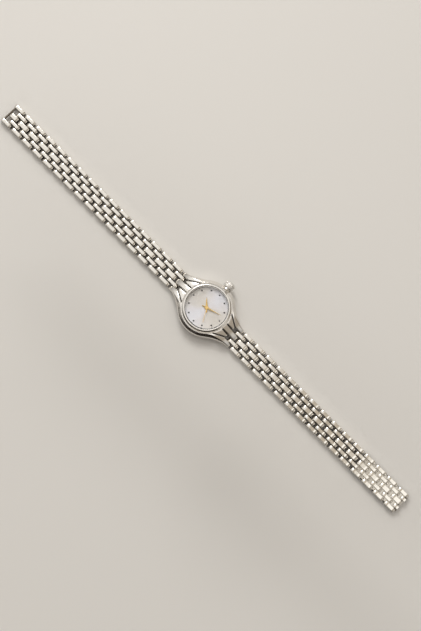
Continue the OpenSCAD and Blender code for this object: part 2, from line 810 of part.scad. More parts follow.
module minute_hand() {
    rotate(-minute_hand_angle) ridged_hand(minute_hand_l, hand_tail, hand_w, minute_hand_z, cannon_r);
}

module second_hand() {
    hub_r = 0.4;
    blade_t = hand_t * 0.6;
    color(gold) rotate(-second_hand_angle) translate([0, 0, second_hand_z]) difference() {
        union() {
            translate([-second_hand_w / 2, -hand_tail, 0])
                cube([second_hand_w, second_hand_l + hand_tail, blade_t]);
            cylinder(r = hub_r, h = hand_t);
        }
        translate([0, 0, -cut]) cylinder(r = second_arbor_r, h = cut + hand_t / 2);
    }
}

module crown() {
    flute_r = 0.13;
    chamfer = 0.3;
    cap_x = crown_l - chamfer;
    color(steel) translate([crown_x, 0, stem_z]) rotate([0, 90, 0]) difference() {
        union() {
            cylinder(r = crown_r, h = cap_x);
            translate([0, 0, cap_x]) cylinder(r1 = crown_r, r2 = crown_r - chamfer, h = chamfer);
        }
        translate([0, 0, -cut]) cylinder(r = crown_bore_r, h = crown_bore_l + cut);
        cylinder(r = stem_r, h = crown_bore_l + stem_seat_l);
        for (k = [0 : crown_flutes - 1]) rotate(360 * k / crown_flutes)
            translate([crown_r, 0, -cut]) cylinder(r = flute_r, h = crown_l + 2 * cut, $fn = 16);
    }
}

module crown_gasket() {
    seal_x = crown_x + 0.1;
    seal_l = 0.35;
    color("#2a2a2c") translate([0, 0, stem_z]) rotate([0, 90, 0])
        ring(crown_bore_r, tube_r + turn_clearance, seal_x, seal_l);
}

module stem() {
    shoulder_x = stem_in + 0.8;
    color("silver") translate([0, 0, stem_z]) rotate([0, 90, 0]) difference() {
        union() {
            arbor(neck_r, stem_in, shoulder_x + bite);
            arbor(stem_r, shoulder_x, crown_x + crown_bore_l + stem_seat_l);
        }
        ring(stem_r + cut, neck_r, lever_x - neck_gap, lever_t + 2 * neck_gap);
    }
}

module setting_lever() {
    low = plate_z + seat_clearance;
    top = plate_top - face_gap - seat_clearance;
    slot_r = neck_r + turn_clearance;
    color("silver") difference() {
        translate([lever_x, -lever_w / 2, low]) cube([lever_t, lever_w, top - low]);
        translate([0, 0, stem_z]) rotate([0, 90, 0]) arbor(slot_r, lever_x - cut, lever_x + lever_t + cut);
        translate([lever_x - cut, -slot_r, low - cut])
            cube([lever_t + 2 * cut, 2 * slot_r, stem_z - low + cut]);
    }
}

module movement_screws() {
    head_h = 0.2;
    head_r = 2 * screw_r;
    slot_w = 0.1;
    color("slategray") for (p = pillars_at) translate([p[0], p[1], 0]) difference() {
        union() {
            arbor(head_r, bridge_z - head_h, bridge_z);
            arbor(screw_r, bridge_z - head_h, bridge_top + screw_hold);
        }
        translate([-head_r, -slot_w / 2, bridge_z - head_h - cut])
            cube([2 * head_r, slot_w, cut + head_h / 2]);
    }
}

// End view of a link: flat faces with rounded long edges
module link_end(w, h) {
    translate([-w / 2 + link_edge_r, 0]) square([w - 2 * link_edge_r, h]);
    translate([-w / 2, link_edge_r]) square([w, h - 2 * link_edge_r]);
    for (x = [-1, 1], z = [link_edge_r, h - link_edge_r])
        translate([x * (w / 2 - link_edge_r), z]) circle(r = link_edge_r, $fn = 32);
}

// One link between two pins: round ends about the pins, rounded long edges
module link(x, w, y0, y1) {
    reach = y1 - y0 + link_t;
    translate([x, 0, 0]) intersection() {
        along_x(w) {
            translate([y0, 0]) square([y1 - y0, link_t]);
            for (y = [y0, y1]) translate([y, link_r]) circle(r = link_r);
        }
        translate([0, (y0 + y1) / 2, 0]) along_y(reach) link_end(w, link_t);
    }
}

// Row k of a half: two second-column links, then three middle links, and the pins that join them
module link_row(k) {
    y0 = pin_y(2 * k - 2);
    y1 = pin_y(2 * k - 1);
    y2 = pin_y(2 * k);
    color(steel) {
        difference() {
            union() {
                for (c = second_columns) link(c[0], c[1], y0, y1);
                for (c = middle_columns) link(c[0], c[1], y1, y2);
            }
            for (y = [y0, y1, y2]) bar_x(pin_bore_r, band_w + cut, y, link_r);
        }
        for (y = [y0, y1]) bar_x(pin_r, band_w - 2 * pin_inset, y, link_r);
    }
}

module upper_row(k) {
    link_row(k);
}

module lower_row(k) {
    rotate(180) link_row(k);
}

// Last row of the 12 o'clock half, with the bar that the clasp hooks on
module upper_end_piece() {
    y0 = pin_y(2 * upper_rows - 2);
    y1 = pin_y(2 * upper_rows - 1);
    y2 = pin_y(2 * upper_rows);
    middle_end = y2 - catch_bar_r - swing_clearance - link_r * 0.6;
    color(steel) {
        difference() {
            union() {
                for (c = second_columns) link(c[0], c[1], y0, y1);
                link(0, centre_link_w, y1, middle_end);
                for (s = [-1, 1]) link(s * outer_x, outer_link_w, y1, y2);
            }
            for (y = [y0, y1]) bar_x(pin_bore_r, band_w + cut, y, link_r);
            bar_x(catch_bar_r + turn_clearance, band_w + cut, catch_bar_y, link_r);
        }
        for (y = [y0, y1]) bar_x(pin_r, band_w - 2 * pin_inset, y, link_r);
        bar_x(catch_bar_r, band_w - 2 * pin_inset, catch_bar_y, link_r);
    }
}

// Rigid cover of the clasp: its top looks like four rows of links, and the leaf folds under it
module clasp_cover() {
    y0 = pin_y(2 * hinged_lower_rows);
    y1 = pin_y(2 * hinged_lower_rows + 1);
    plate_h = cover_t * 0.45;
    knuckle_w = 1.4;
    knuckle_r = barrel_r * 0.9;
    knuckle_x = barrel_w / 2 + swing_clearance + knuckle_w / 2;
    color(steel) rotate(180) {
        difference() {
            union() {
                for (c = second_columns) link(c[0], c[1], y0, y1);
                intersection() {
                    union() {
                        for (k = [hinged_lower_rows + 1 : lower_rows], c = middle_columns)
                            link(c[0], c[1], pin_y(2 * k - 1), pin_y(2 * k));
                        for (k = [hinged_lower_rows + 2 : lower_rows + 1], c = second_columns)
                            link(c[0], c[1], pin_y(2 * k - 2), pin_y(2 * k - 1));
                    }
                    translate([-band_w, y0, cover_z]) cube([2 * band_w, cover_end - y0, link_t]);
                }
                translate([-outer_x, y1, cover_z]) cube([2 * outer_x, cover_end - y1 - 0.3, plate_h]);
                for (s = [-1, 1]) translate([s * knuckle_x, barrel_y, barrel_z]) {
                    rotate([0, 90, 0]) cylinder(r = knuckle_r, h = knuckle_w, center = true);
                    translate([-knuckle_w / 2, -knuckle_r, 0])
                        cube([knuckle_w, barrel_r * 1.2, cover_z + plate_h / 2 - barrel_z]);
                }
            }
            bar_x(pin_bore_r, band_w, y0, link_r);
            bar_x(clasp_pin_r + turn_clearance, band_w, barrel_y, barrel_z);
            bar_x(barrel_r + swing_clearance, barrel_w + 2 * swing_clearance, barrel_y, barrel_z);
        }
        bar_x(pin_r, band_w - 2 * pin_inset, y0, link_r);
        bar_x(clasp_pin_r, 2 * knuckle_x + knuckle_w, barrel_y, barrel_z);
    }
}

// Leaf that folds under the cover, with a hook at its free end for the catch bar
module clasp_leaf() {
    hook_r = catch_bar_r + leaf_t * 0.55;
    hook_w = leaf_w * 0.7;
    free_end = barrel_y - leaf_l;
    neck_y = barrel_y - barrel_r - 1;
    hook_z = leaf_z + hook_r;
    color(steel) rotate(180) difference() {
        union() {
            translate([-leaf_w / 2, free_end, leaf_z]) cube([leaf_w, neck_y - free_end, leaf_t]);
            translate([-barrel_w / 2, neck_y - bite, leaf_z])
                cube([barrel_w, barrel_y - neck_y + bite, leaf_t]);
            bar_x(barrel_r, barrel_w, barrel_y, barrel_z);
            intersection() {
                bar_x(hook_r, hook_w, free_end, hook_z);
                translate([-leaf_w, free_end - hook_r, 0])
                    cube([2 * leaf_w, hook_r + bite, cover_z - seat_clearance]);
            }
        }
        bar_x(catch_bar_r + turn_clearance, leaf_w + cut, free_end, hook_z);
        bar_x(clasp_pin_r + turn_clearance, band_w, barrel_y, barrel_z);
    }
}

case_body();
case_back();
case_back_gasket();
bezel();
crystal();
crystal_gasket();
dial_ring();
dial();
hour_markers();
movement_ring();
main_plate();
train_bridge();
circuit_board();
coil();
stator();
rotor();
battery();
intermediate_wheel();
fourth_wheel();
third_wheel();
centre_wheel();
minute_wheel();
hour_wheel();
hour_hand();
minute_hand();
second_hand();
crown();
stem();
crown_gasket();
setting_lever();
movement_screws();
upper_row(1);  // upper_row_01
upper_row(2);  // upper_row_02
upper_row(3);  // upper_row_03
upper_row(4);  // upper_row_04
upper_row(5);  // upper_row_05
upper_row(6);  // upper_row_06
upper_row(7);  // upper_row_07
upper_row(8);  // upper_row_08
upper_row(9);  // upper_row_09
upper_row(10);  // upper_row_10
upper_row(11);  // upper_row_11
upper_row(12);  // upper_row_12
upper_row(13);  // upper_row_13
upper_row(14);  // upper_row_14
upper_row(15);  // upper_row_15
upper_end_piece();
lower_row(1);  // lower_row_01
lower_row(2);  // lower_row_02
lower_row(3);  // lower_row_03
lower_row(4);  // lower_row_04
lower_row(5);  // lower_row_05
lower_row(6);  // lower_row_06
lower_row(7);  // lower_row_07
lower_row(8);  // lower_row_08
lower_row(9);  // lower_row_09
lower_row(10);  // lower_row_10
lower_row(11);  // lower_row_11
clasp_cover();
clasp_leaf();
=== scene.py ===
# %% [markdown]
# # A small bracelet watch in polished steel
#
# The watch lies open with its dial up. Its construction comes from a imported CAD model, which is
# loaded as a fixed frame: every case part, wheel, hand and row of links is already there at its
# real size. This script gives that frame its looks. It makes the bracelet's links and the dial's
# dots with Geometry Nodes, shapes the case from closed loops, turns the round parts on a lathe, and
# writes one node-based material for each finish.
#
# Every length is in metres, in the frame's own axes: +Y points to 12 o'clock, +X to the crown and
# +Z out of the dial.

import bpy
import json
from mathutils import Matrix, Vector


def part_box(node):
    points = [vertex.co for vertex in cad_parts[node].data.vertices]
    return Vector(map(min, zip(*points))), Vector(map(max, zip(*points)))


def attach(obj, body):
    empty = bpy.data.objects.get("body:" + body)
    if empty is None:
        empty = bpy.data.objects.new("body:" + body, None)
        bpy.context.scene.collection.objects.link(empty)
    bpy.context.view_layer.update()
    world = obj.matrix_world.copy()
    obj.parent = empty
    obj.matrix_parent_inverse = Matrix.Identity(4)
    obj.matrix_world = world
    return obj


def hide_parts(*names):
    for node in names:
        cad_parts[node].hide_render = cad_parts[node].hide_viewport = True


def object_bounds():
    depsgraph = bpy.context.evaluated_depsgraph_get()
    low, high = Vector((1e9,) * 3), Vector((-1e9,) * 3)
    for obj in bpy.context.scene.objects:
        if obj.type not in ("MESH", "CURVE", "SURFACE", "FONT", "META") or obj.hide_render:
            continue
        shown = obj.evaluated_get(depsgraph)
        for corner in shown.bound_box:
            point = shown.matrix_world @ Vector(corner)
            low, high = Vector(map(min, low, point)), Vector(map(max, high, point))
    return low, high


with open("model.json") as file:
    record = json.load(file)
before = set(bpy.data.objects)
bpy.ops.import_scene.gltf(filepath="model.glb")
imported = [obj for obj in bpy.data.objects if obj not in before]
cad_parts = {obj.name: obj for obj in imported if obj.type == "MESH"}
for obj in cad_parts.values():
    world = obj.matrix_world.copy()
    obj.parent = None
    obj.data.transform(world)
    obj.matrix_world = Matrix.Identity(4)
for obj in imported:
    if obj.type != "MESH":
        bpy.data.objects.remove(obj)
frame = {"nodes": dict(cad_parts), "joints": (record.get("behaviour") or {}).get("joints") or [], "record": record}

# %% Keep the size of the CAD model
cad_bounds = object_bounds()
print("CAD box, mm:", [[round(v * 1000, 2) for v in corner] for corner in cad_bounds])

# %% Modules and names used all the way through
import json
import math

import bmesh
import bpy
from mathutils import Matrix, Vector
from mathutils.geometry import intersect_line_line_2d

MM = 0.001
scene = bpy.context.scene
nodes = frame["nodes"]
hinge = {joint["child"]: joint for joint in frame["joints"]}
bodies = frame["record"]["behaviour"]["bodies"]
body_of = {node: body for body, members in bodies.items() for node in members}

# %% [markdown]
# ## The camera
#
# The picture looks almost straight down. 12 o'clock points to the upper left and the crown to the
# upper right. The camera leans a little towards 8 o'clock, the bottom of the picture, which is why
# the case's wall shows there. A long lens from 42 cm keeps the perspective gentle. The camera's
# turn is built from two directions: where it stands, seen from the watch, and which way +Y has to
# run in the picture.

# %% Camera
PICTURE_HIGH = 631  # pixels
SCALE = 3.06  # pixels of the picture to a millimetre of the watch
LEAN = math.radians(9)
LEAN_WAY = math.radians(215)  # from +X, counter-clockwise
BAND_TURN = math.radians(45)
DISTANCE = 0.42
SENSOR = 36.0
LOOK_HEIGHT = 2 * MM
WATCH_OFFSET = (-1.35 * MM, 2.0 * MM)  # of the dial's centre from the picture's, right and up

camera = bpy.data.objects.new("camera", bpy.data.cameras.new("camera"))
scene.collection.objects.link(camera)
scene.camera = camera

back = Vector((math.sin(LEAN) * math.cos(LEAN_WAY), math.sin(LEAN) * math.sin(LEAN_WAY),
               math.cos(LEAN)))
band = (Vector((0, 1, 0)) - back * back.y).normalized()
up = Matrix.Rotation(-BAND_TURN, 3, back) @ band
right = up.cross(back)
target = Vector((0, 0, LOOK_HEIGHT)) - right * WATCH_OFFSET[0] - up * WATCH_OFFSET[1]
turn = Matrix((right, up, back)).transposed().to_4x4()
camera.matrix_world = Matrix.Translation(target + back * DISTANCE) @ turn
camera.data.sensor_width = SENSOR
camera.data.lens = SENSOR * DISTANCE / (PICTURE_HIGH / SCALE * MM)
print("lens, mm:", round(camera.data.lens, 1))

# %% [markdown]
# ## Light
#
# Polished steel has hardly any colour of its own: what it shows is the room. So the room gets as
# much care as the metal. It is the world's background, shaded by direction, and it has two sides.
# The side towards the window is bright and slightly warm, and fades only near the horizon. The
# other is dark below a pale ceiling. That makes the flat tops of the links glow and their round
# edges go dark. Lighter and darker beams cross the ceiling too: the camera sees every row of links
# at a slightly different angle, so each row mirrors another part of them. One square lamp, the
# window itself, gives the sharper highlights and the shadows.
#
# The room and all the finishes are made of nodes. Four helpers keep that short. They fill one
# socket, add a node with its sockets filled by name, add a Math node, and add a colour ramp.

# %% Helpers for nodes
def fill(tree, socket, value):
    """Gives a socket its value, or a link where the value is another node's socket."""
    if isinstance(value, bpy.types.NodeSocket):
        tree.links.new(value, socket)
    else:
        socket.default_value = value


def add(tree, kind, settings=None, **values):
    """A new node with its settings, and its sockets filled by name from values or other sockets."""
    made = tree.nodes.new(kind)
    for key, value in (settings or {}).items():
        setattr(made, key, value)
    for key, value in values.items():
        fill(tree, made.inputs[key.replace("_", " ")], value)
    return made


def number(tree, operation, *values):
    """The result of a Math node whose sockets are filled in order."""
    made = add(tree, "ShaderNodeMath", {"operation": operation})
    for socket, value in zip(made.inputs, values):
        fill(tree, socket, value)
    return made.outputs["Value"]


def ramp(tree, value, places):
    """The colour that a ramp with the given (place, colour) stops has for a value."""
    made = add(tree, "ShaderNodeValToRGB", Fac=value)
    stops = made.color_ramp.elements
    while len(stops) < len(places):
        stops.new(0.5)
    for stop, (place, colour) in zip(stops, places):
        stop.position, stop.color = place, (*colour, 1)
    return made.outputs["Color"]


# %% Colours of the room
# Up each side of the room: 0 is the horizon and 1 is straight up.
BRIGHT_SIDE = [
    (0.0, (0.36, 0.345, 0.32)), (0.25, (0.60, 0.575, 0.54)), (0.58, (1.02, 0.99, 0.94)),
    (0.90, (1.02, 0.99, 0.95)),
]
DARK_SIDE = [
    (0.0, (0.05, 0.045, 0.04)), (0.52, (0.07, 0.06, 0.055)), (0.74, (0.52, 0.50, 0.47)),
    (0.88, (0.97, 0.95, 0.92)),
]
# Across the room, from 6 o'clock's side at 0 to 12 o'clock's at 1; multiplied with the sides.
BEAMS = [
    (0.04, (1, 1, 1)), (0.12, (0.42, 0.38, 0.33)), (0.31, (0.42, 0.38, 0.33)),
    (0.37, (1.1, 1.1, 1.1)), (0.425, (1.30, 1.30, 1.30)), (0.457, (1.35, 1.37, 1.37)),
    (0.467, (0.50, 0.44, 0.36)), (0.495, (0.50, 0.44, 0.36)), (0.525, (1, 1, 1)),
]
WINDOW_WAY = (0.94, 0.34, 0.0)
SIDE_CHANGE = (-0.65, -0.05)  # how far towards the window a direction points: all dark, all bright
ROOM_STRENGTH = 0.95

# %% World
world = bpy.data.worlds.new("soft room")
scene.world = world
world.use_nodes = True
sky = world.node_tree
sky.nodes.clear()
direction = add(sky, "ShaderNodeTexCoord").outputs["Generated"]
axes = add(sky, "ShaderNodeSeparateXYZ", Vector=direction).outputs
level = number(sky, "ABSOLUTE", axes["Z"])  # the room below the floor mirrors the room above it
facing = add(sky, "ShaderNodeVectorMath", {"operation": "DOT_PRODUCT"})
fill(sky, facing.inputs[0], direction)
fill(sky, facing.inputs[1], WINDOW_WAY)
share = add(sky, "ShaderNodeMapRange", {"interpolation_type": "SMOOTHSTEP"},
            Value=facing.outputs["Value"], From_Min=SIDE_CHANGE[0], From_Max=SIDE_CHANGE[1])
room = add(sky, "ShaderNodeMix", {"data_type": "RGBA"}, Factor=share.outputs["Result"],
           A=ramp(sky, level, DARK_SIDE), B=ramp(sky, level, BRIGHT_SIDE))
across = add(sky, "ShaderNodeMapRange", Value=axes["Y"], From_Min=-1.0, From_Max=1.0)
shaded = add(sky, "ShaderNodeMix", {"data_type": "RGBA", "blend_type": "MULTIPLY"}, Factor=1.0,
             A=room.outputs["Result"], B=ramp(sky, across.outputs["Result"], BEAMS))
background = add(sky, "ShaderNodeBackground", Color=shaded.outputs["Result"],
                 Strength=ROOM_STRENGTH)
add(sky, "ShaderNodeOutputWorld", Surface=background.outputs["Background"])
print("room:", len(sky.nodes), "nodes")

# %% Window
WINDOW_PLACE, WINDOW_SIZE = Vector((0.32, 0.46, 0.52)), 0.30
WINDOW_BRIGHTNESS, WINDOW_COLOUR = 8.0, (1.0, 0.985, 0.96)  # what a mirror would show of it

lamp = bpy.data.lights.new("window", "AREA")
lamp.shape, lamp.size = "SQUARE", WINDOW_SIZE
lamp.energy = WINDOW_BRIGHTNESS * math.pi * WINDOW_SIZE * WINDOW_SIZE
lamp.color = WINDOW_COLOUR
window = bpy.data.objects.new("window", lamp)
window.location = WINDOW_PLACE
window.rotation_mode = "QUATERNION"
window.rotation_quaternion = WINDOW_PLACE.to_track_quat("Z", "Y")
scene.collection.objects.link(window)
print("window:", round(lamp.energy, 2), "W")

# %% [markdown]
# ## Materials
#
# Each finish is one small node tree round a Principled shader. Numbers that are the same all over
# a surface are set on the shader itself; only what varies, such as scratches or grain, runs
# through texture nodes on Object coordinates. A texture can do two things to a metal: it moves the
# roughness up and down, and it raises the surface a little.

# %% Helpers for materials
def finish(name, colour, metallic, roughness, **values):
    """A material with a plain Principled shader, its tree and the shader itself."""
    made = bpy.data.materials.new(name)
    made.use_nodes = True
    tree = made.node_tree
    shader = tree.nodes["Principled BSDF"]
    values.update(Base_Color=(*colour, 1), Metallic=metallic, Roughness=roughness)
    for key, value in values.items():
        fill(tree, shader.inputs[key.replace("_", " ")], value)
    return made, tree, shader


def coordinates(tree, stretch=(1, 1, 1)):
    """Object coordinates in millimetres, stretched so that a grain can run one way."""
    place = add(tree, "ShaderNodeTexCoord").outputs["Object"]
    scaled = add(tree, "ShaderNodeMapping", Vector=place, Scale=[s / MM for s in stretch])
    return scaled.outputs["Vector"]


def roughened(tree, shader, texture, low, high):
    """Lets a texture move the shader's roughness between two values."""
    level = add(tree, "ShaderNodeMapRange", Value=texture.outputs["Fac"], To_Min=low, To_Max=high)
    fill(tree, shader.inputs["Roughness"], level.outputs["Result"])


def grooved(tree, shader, texture, depth, strength=0.5):
    """Lets a texture raise the surface, by a depth in millimetres."""
    bump = add(tree, "ShaderNodeBump", Height=texture.outputs["Fac"], Distance=depth * MM,
               Strength=strength)
    fill(tree, shader.inputs["Normal"], bump.outputs["Normal"])


# %% [markdown]
# Most of the watch is steel in one polish or another: mirror-bright on the case and the clasp's
# leaf, softer on the crown and the ring round the dial, and satin on what sits inside. All get the
# same wear, a soft cloud in the roughness and long hairline scratches, with different numbers.
# Gold plate on the hands and brass in the movement are the same idea in another colour.

# %% Metals
HAIRLINE_STRETCH = (9, 0.7, 9)  # long along the bracelet


def metal(name, colour, roughness, depth, stretch=(1, 1, 1)):
    """A metal with the uneven polish and the scratches, of a depth in mm, that handling leaves."""
    made, tree, shader = finish(name, colour, 1.0, sum(roughness) / 2)
    cloud = add(tree, "ShaderNodeTexNoise", Vector=coordinates(tree, stretch), Scale=1.5,
                Detail=3.0)
    roughened(tree, shader, cloud, *roughness)
    hairs = add(tree, "ShaderNodeTexNoise", Vector=coordinates(tree, HAIRLINE_STRETCH), Scale=2.0,
                Detail=4.0)
    grooved(tree, shader, hairs, depth)
    return made


polished_steel = metal("polished_steel", (0.83, 0.805, 0.765), (0.07, 0.17), 0.0012)
crown_steel = metal("crown_steel", (0.62, 0.60, 0.57), (0.2, 0.32), 0.002)
ring_steel = metal("ring_steel", (0.40, 0.39, 0.37), (0.2, 0.32), 0.001)
satin_steel = metal("satin_steel", (0.60, 0.61, 0.63), (0.28, 0.42), 0.002, (1, 12, 12))
gold_plate = metal("gold_plate", (0.86, 0.60, 0.20), (0.14, 0.26), 0.001)
bright_brass = metal("bright_brass", (0.78, 0.60, 0.27), (0.2, 0.34), 0.002)
print("metals:", [made.name for made in (polished_steel, crown_steel, ring_steel, satin_steel,
                                         gold_plate, bright_brass)])

# %% [markdown]
# Between the links of a bracelet lies shade, and that is what draws every link's outline. That
# shade is painted into the links' steel: its colour is darkened at half the links' height, but
# not on the bracelet's two edges, its top or its back.

# %% Link steel, with painted shade in the gaps
LINK_BRIGHT, LINK_PAINTED_SHADE = (0.83, 0.80, 0.745), (0.16, 0.13, 0.10)
GAP_RISE, GAP_FALL = (0.25, 0.55), (1.72, 1.35)  # heights in mm: not dark yet, fully dark
GAP_ASIDE = (3.75, 3.55)  # the same for the distance from the bracelet's middle


def paint_gap_shade(made, bright, dark):
    """Paints shade into a material's colour, from bright to dark inside the gaps between links."""
    tree = made.node_tree
    axes = add(tree, "ShaderNodeSeparateXYZ", Vector=coordinates(tree)).outputs
    aside = number(tree, "ABSOLUTE", axes["X"])
    share = 1.0
    for value, (none, full) in ((axes["Z"], GAP_RISE), (axes["Z"], GAP_FALL), (aside, GAP_ASIDE)):
        part = add(tree, "ShaderNodeMapRange", Value=value, From_Min=none, From_Max=full)
        share = number(tree, "MULTIPLY", share, part.outputs["Result"])
    mixed = add(tree, "ShaderNodeMix", {"data_type": "RGBA"}, Factor=share, A=(*bright, 1),
                B=(*dark, 1))
    fill(tree, tree.nodes["Principled BSDF"].inputs["Base Color"], mixed.outputs["Result"])


link_steel = metal("link_steel", LINK_BRIGHT, (0.07, 0.16), 0.0012)
# painted shade: the links' colour darkens inside the gaps between them
paint_gap_shade(link_steel, LINK_BRIGHT, LINK_PAINTED_SHADE)
print("link steel:", len(link_steel.node_tree.nodes), "nodes")

# %% [markdown]
# The case back is brushed in rings, and the main plate and the bridge of the movement are
# nickel-plated brass with a fine grain in rings as well. A Wave texture in its Rings form gives
# the rings, and a bump turns them into shallow grooves.

# %% Finishes in rings
def ringed(name, colour, roughness, depth, strength, **wave):
    """A metal with grooves in rings round the Z axis."""
    made, tree, shader = finish(name, colour, 1.0, sum(roughness) / 2)
    rings = add(tree, "ShaderNodeTexWave", {"wave_type": "RINGS", "rings_direction": "Z"},
                Vector=coordinates(tree), **wave)
    roughened(tree, shader, rings, *roughness)
    grooved(tree, shader, rings, depth, strength)
    return made


brushed_back = ringed("brushed_back", (0.72, 0.70, 0.67), (0.18, 0.30), 0.0015, 0.5,
                      Scale=9.0, Distortion=1.2, Detail=3.0, Detail_Scale=2.0)
plated_brass = ringed("plated_brass", (0.74, 0.70, 0.62), (0.26, 0.36), 0.003, 0.4,
                      Scale=6.0, Distortion=0.6, Detail=2.0)
print("in rings:", brushed_back.name, plated_brass.name)

# %% [markdown]
# ## The dial's finish
#
# The dial is silvery with a mother-of-pearl look, and a sheen is painted into its colour: a warm
# grey towards 12 and 6 o'clock, and a cooler, brighter painted sheen that spreads like two wedges
# towards 3 and 9. How far a direction from the centre points to the side gives the wedges. Half of
# that and half of a large, soft noise, the pearl's own uneven tone, pick the tint from a colour ramp,
# and a second noise, stretched across the dial, keeps the gloss uneven.

# %% Pearl dial
# Tints for the pearl's own tone and for the painted sheen, on one ramp.
PEARL_AND_SHEEN_TINTS = [
    (0.20, (0.57, 0.54, 0.50)), (0.36, (0.60, 0.57, 0.535)), (0.50, (0.62, 0.60, 0.59)),
    (0.62, (0.64, 0.62, 0.64)), (0.78, (0.66, 0.66, 0.70)),
]
SHEEN_TURN = math.radians(10)

pearl, tree, shader = finish("pearl_dial", (0.66, 0.65, 0.63), 0.3, 0.3, Coat_Weight=0.4,
                             Coat_Roughness=0.08)
place = add(tree, "ShaderNodeTexCoord").outputs["Object"]
flat = add(tree, "ShaderNodeMapping", Vector=place, Rotation=(0, 0, SHEEN_TURN),
           Scale=(1 / MM, 1 / MM, 0))  # 0: the height on the dial doesn't count
outwards = add(tree, "ShaderNodeVectorMath", {"operation": "NORMALIZE"})
fill(tree, outwards.inputs[0], flat.outputs["Vector"])
sideways = add(tree, "ShaderNodeSeparateXYZ", Vector=outwards.outputs["Vector"]).outputs["X"]
# painted sheen: the colour turns cooler and brighter towards 3 and 9 o'clock
painted_sheen = number(tree, "MULTIPLY", sideways, sideways)
cloud = add(tree, "ShaderNodeTexNoise", Vector=coordinates(tree, (1, 1, 0.2)), Scale=0.28,
            Detail=1.5, Roughness=0.4, Distortion=0.8)
blend = add(tree, "ShaderNodeMix", {"data_type": "FLOAT"}, Factor=0.5, A=painted_sheen,
            B=cloud.outputs["Fac"])
fill(tree, shader.inputs["Base Color"], ramp(tree, blend.outputs["Result"], PEARL_AND_SHEEN_TINTS))
layers = add(tree, "ShaderNodeTexNoise", Vector=coordinates(tree, (1, 5, 1)), Scale=1.2, Detail=3.0)
roughened(tree, shader, layers, 0.24, 0.4)
print("pearl:", len(tree.nodes), "nodes")

# %% [markdown]
# The crystal is clear mineral glass. Ray tracing finds few paths from a lamp through glass to the
# dial, so the material lets shadow rays straight through and the dial is lit as if the glass
# weren't there, while the camera still sees its reflections.

# %% Crystal glass
def mix_shaders(tree, share, first, second):
    """Sends a mix of two shaders to the material's surface."""
    mixed = add(tree, "ShaderNodeMixShader", Fac=share)
    fill(tree, mixed.inputs[1], first.outputs["BSDF"])
    fill(tree, mixed.inputs[2], second.outputs["BSDF"])
    fill(tree, tree.nodes["Material Output"].inputs["Surface"], mixed.outputs["Shader"])


crystal_glass, tree, shader = finish("crystal_glass", (1, 1, 1), 0.0, 0.0, IOR=1.45,
                                     Transmission_Weight=1.0)
smudges = add(tree, "ShaderNodeTexNoise", Vector=coordinates(tree), Scale=0.5, Detail=2.0)
roughened(tree, shader, smudges, 0.0, 0.02)
clear = add(tree, "ShaderNodeBsdfTransparent")
mix_shaders(tree, add(tree, "ShaderNodeLightPath").outputs["Is Shadow Ray"], shader, clear)
print("crystal glass:", len(tree.nodes), "nodes")

# %% [markdown]
# Small parts inside: black rubber seals, white plastic, the green board, copper wire and the
# battery's can. The dots on the dial get a dark polish of the same kind. Each finish has one
# texture at the scale of the real surface.

# %% Seals, plastic, board, wire and dots
GRAIN_DARK, GRAIN_LIGHT = 0.85, 1.12  # the grain's two colours, as shares of the plain one


def grainy(name, colour, metallic, roughness, scale, depth, stretch=(1, 1, 1)):
    """A material with a fine grain in its colour and a matching bump of a depth in mm."""
    made, tree, shader = finish(name, colour, metallic, sum(roughness) / 2)
    grain = add(tree, "ShaderNodeTexNoise", Vector=coordinates(tree, stretch), Scale=scale,
                Detail=3.0)
    tint = add(tree, "ShaderNodeMix", {"data_type": "RGBA"}, Factor=grain.outputs["Fac"],
               A=(*[c * GRAIN_DARK for c in colour], 1),
               B=(*[min(1, c * GRAIN_LIGHT) for c in colour], 1))
    fill(tree, shader.inputs["Base Color"], tint.outputs["Result"])
    roughened(tree, shader, grain, *roughness)
    grooved(tree, shader, grain, depth)
    return made


rubber = grainy("seal_rubber", (0.03, 0.03, 0.032), 0.0, (0.5, 0.7), 8.0, 0.004)
white_plastic = grainy("white_plastic", (0.86, 0.86, 0.84), 0.0, (0.35, 0.5), 5.0, 0.003)
board_green = grainy("board_green", (0.05, 0.24, 0.10), 0.0, (0.3, 0.45), 3.0, 0.004)
copper_wire = grainy("copper_wire", (0.62, 0.27, 0.12), 1.0, (0.25, 0.4), 2.0, 0.02, (12, 1, 1))
cell_steel = grainy("cell_steel", (0.66, 0.66, 0.67), 1.0, (0.2, 0.34), 2.0, 0.002, (1, 10, 1))
dark_polish = grainy("marker_polish", (0.045, 0.04, 0.038), 0.9, (0.12, 0.22), 6.0, 0.001)
print(len(bpy.data.materials), "materials so far")


# %% [markdown]
# ## Formulas as nodes
#
# The shape of a link follows a rule, so Geometry Nodes can make it: a flat grid is bent into a
# closed form by working out a new place for each of its points. Written as single Math nodes such
# a rule is hard to read, so a tiny class stands for "a number that the nodes work out", and plain
# arithmetic on it adds the nodes.

# %% A number worked out by nodes
def plain(value):
    """The socket behind a field, or the number itself."""
    return value.socket if isinstance(value, Field) else value


class Field:
    """A socket that plain arithmetic can be done with; each step adds one Math node."""

    def __init__(self, tree, socket):
        self.tree, self.socket = tree, socket

    def step(self, operation, *others):
        """The field after one Math operation, with other fields or numbers where it needs them."""
        values = [plain(value) for value in (self, *others)]
        return Field(self.tree, number(self.tree, operation, *values))

    def __add__(self, other):
        return self.step("ADD", other)

    def __sub__(self, other):
        return self.step("SUBTRACT", other)

    def __mul__(self, other):
        return self.step("MULTIPLY", other)

    def signed_power(self, power):
        """The number's size raised to a power, with its sign kept."""
        return self.step("SIGN") * self.step("ABSOLUTE").step("POWER", power)


# %% Points and vectors
def point(tree):
    """The x, y and z of a mesh's points, as fields."""
    place = add(tree, "GeometryNodeInputPosition").outputs["Position"]
    axes = add(tree, "ShaderNodeSeparateXYZ", Vector=place).outputs
    return [Field(tree, axes[axis]) for axis in "XYZ"]


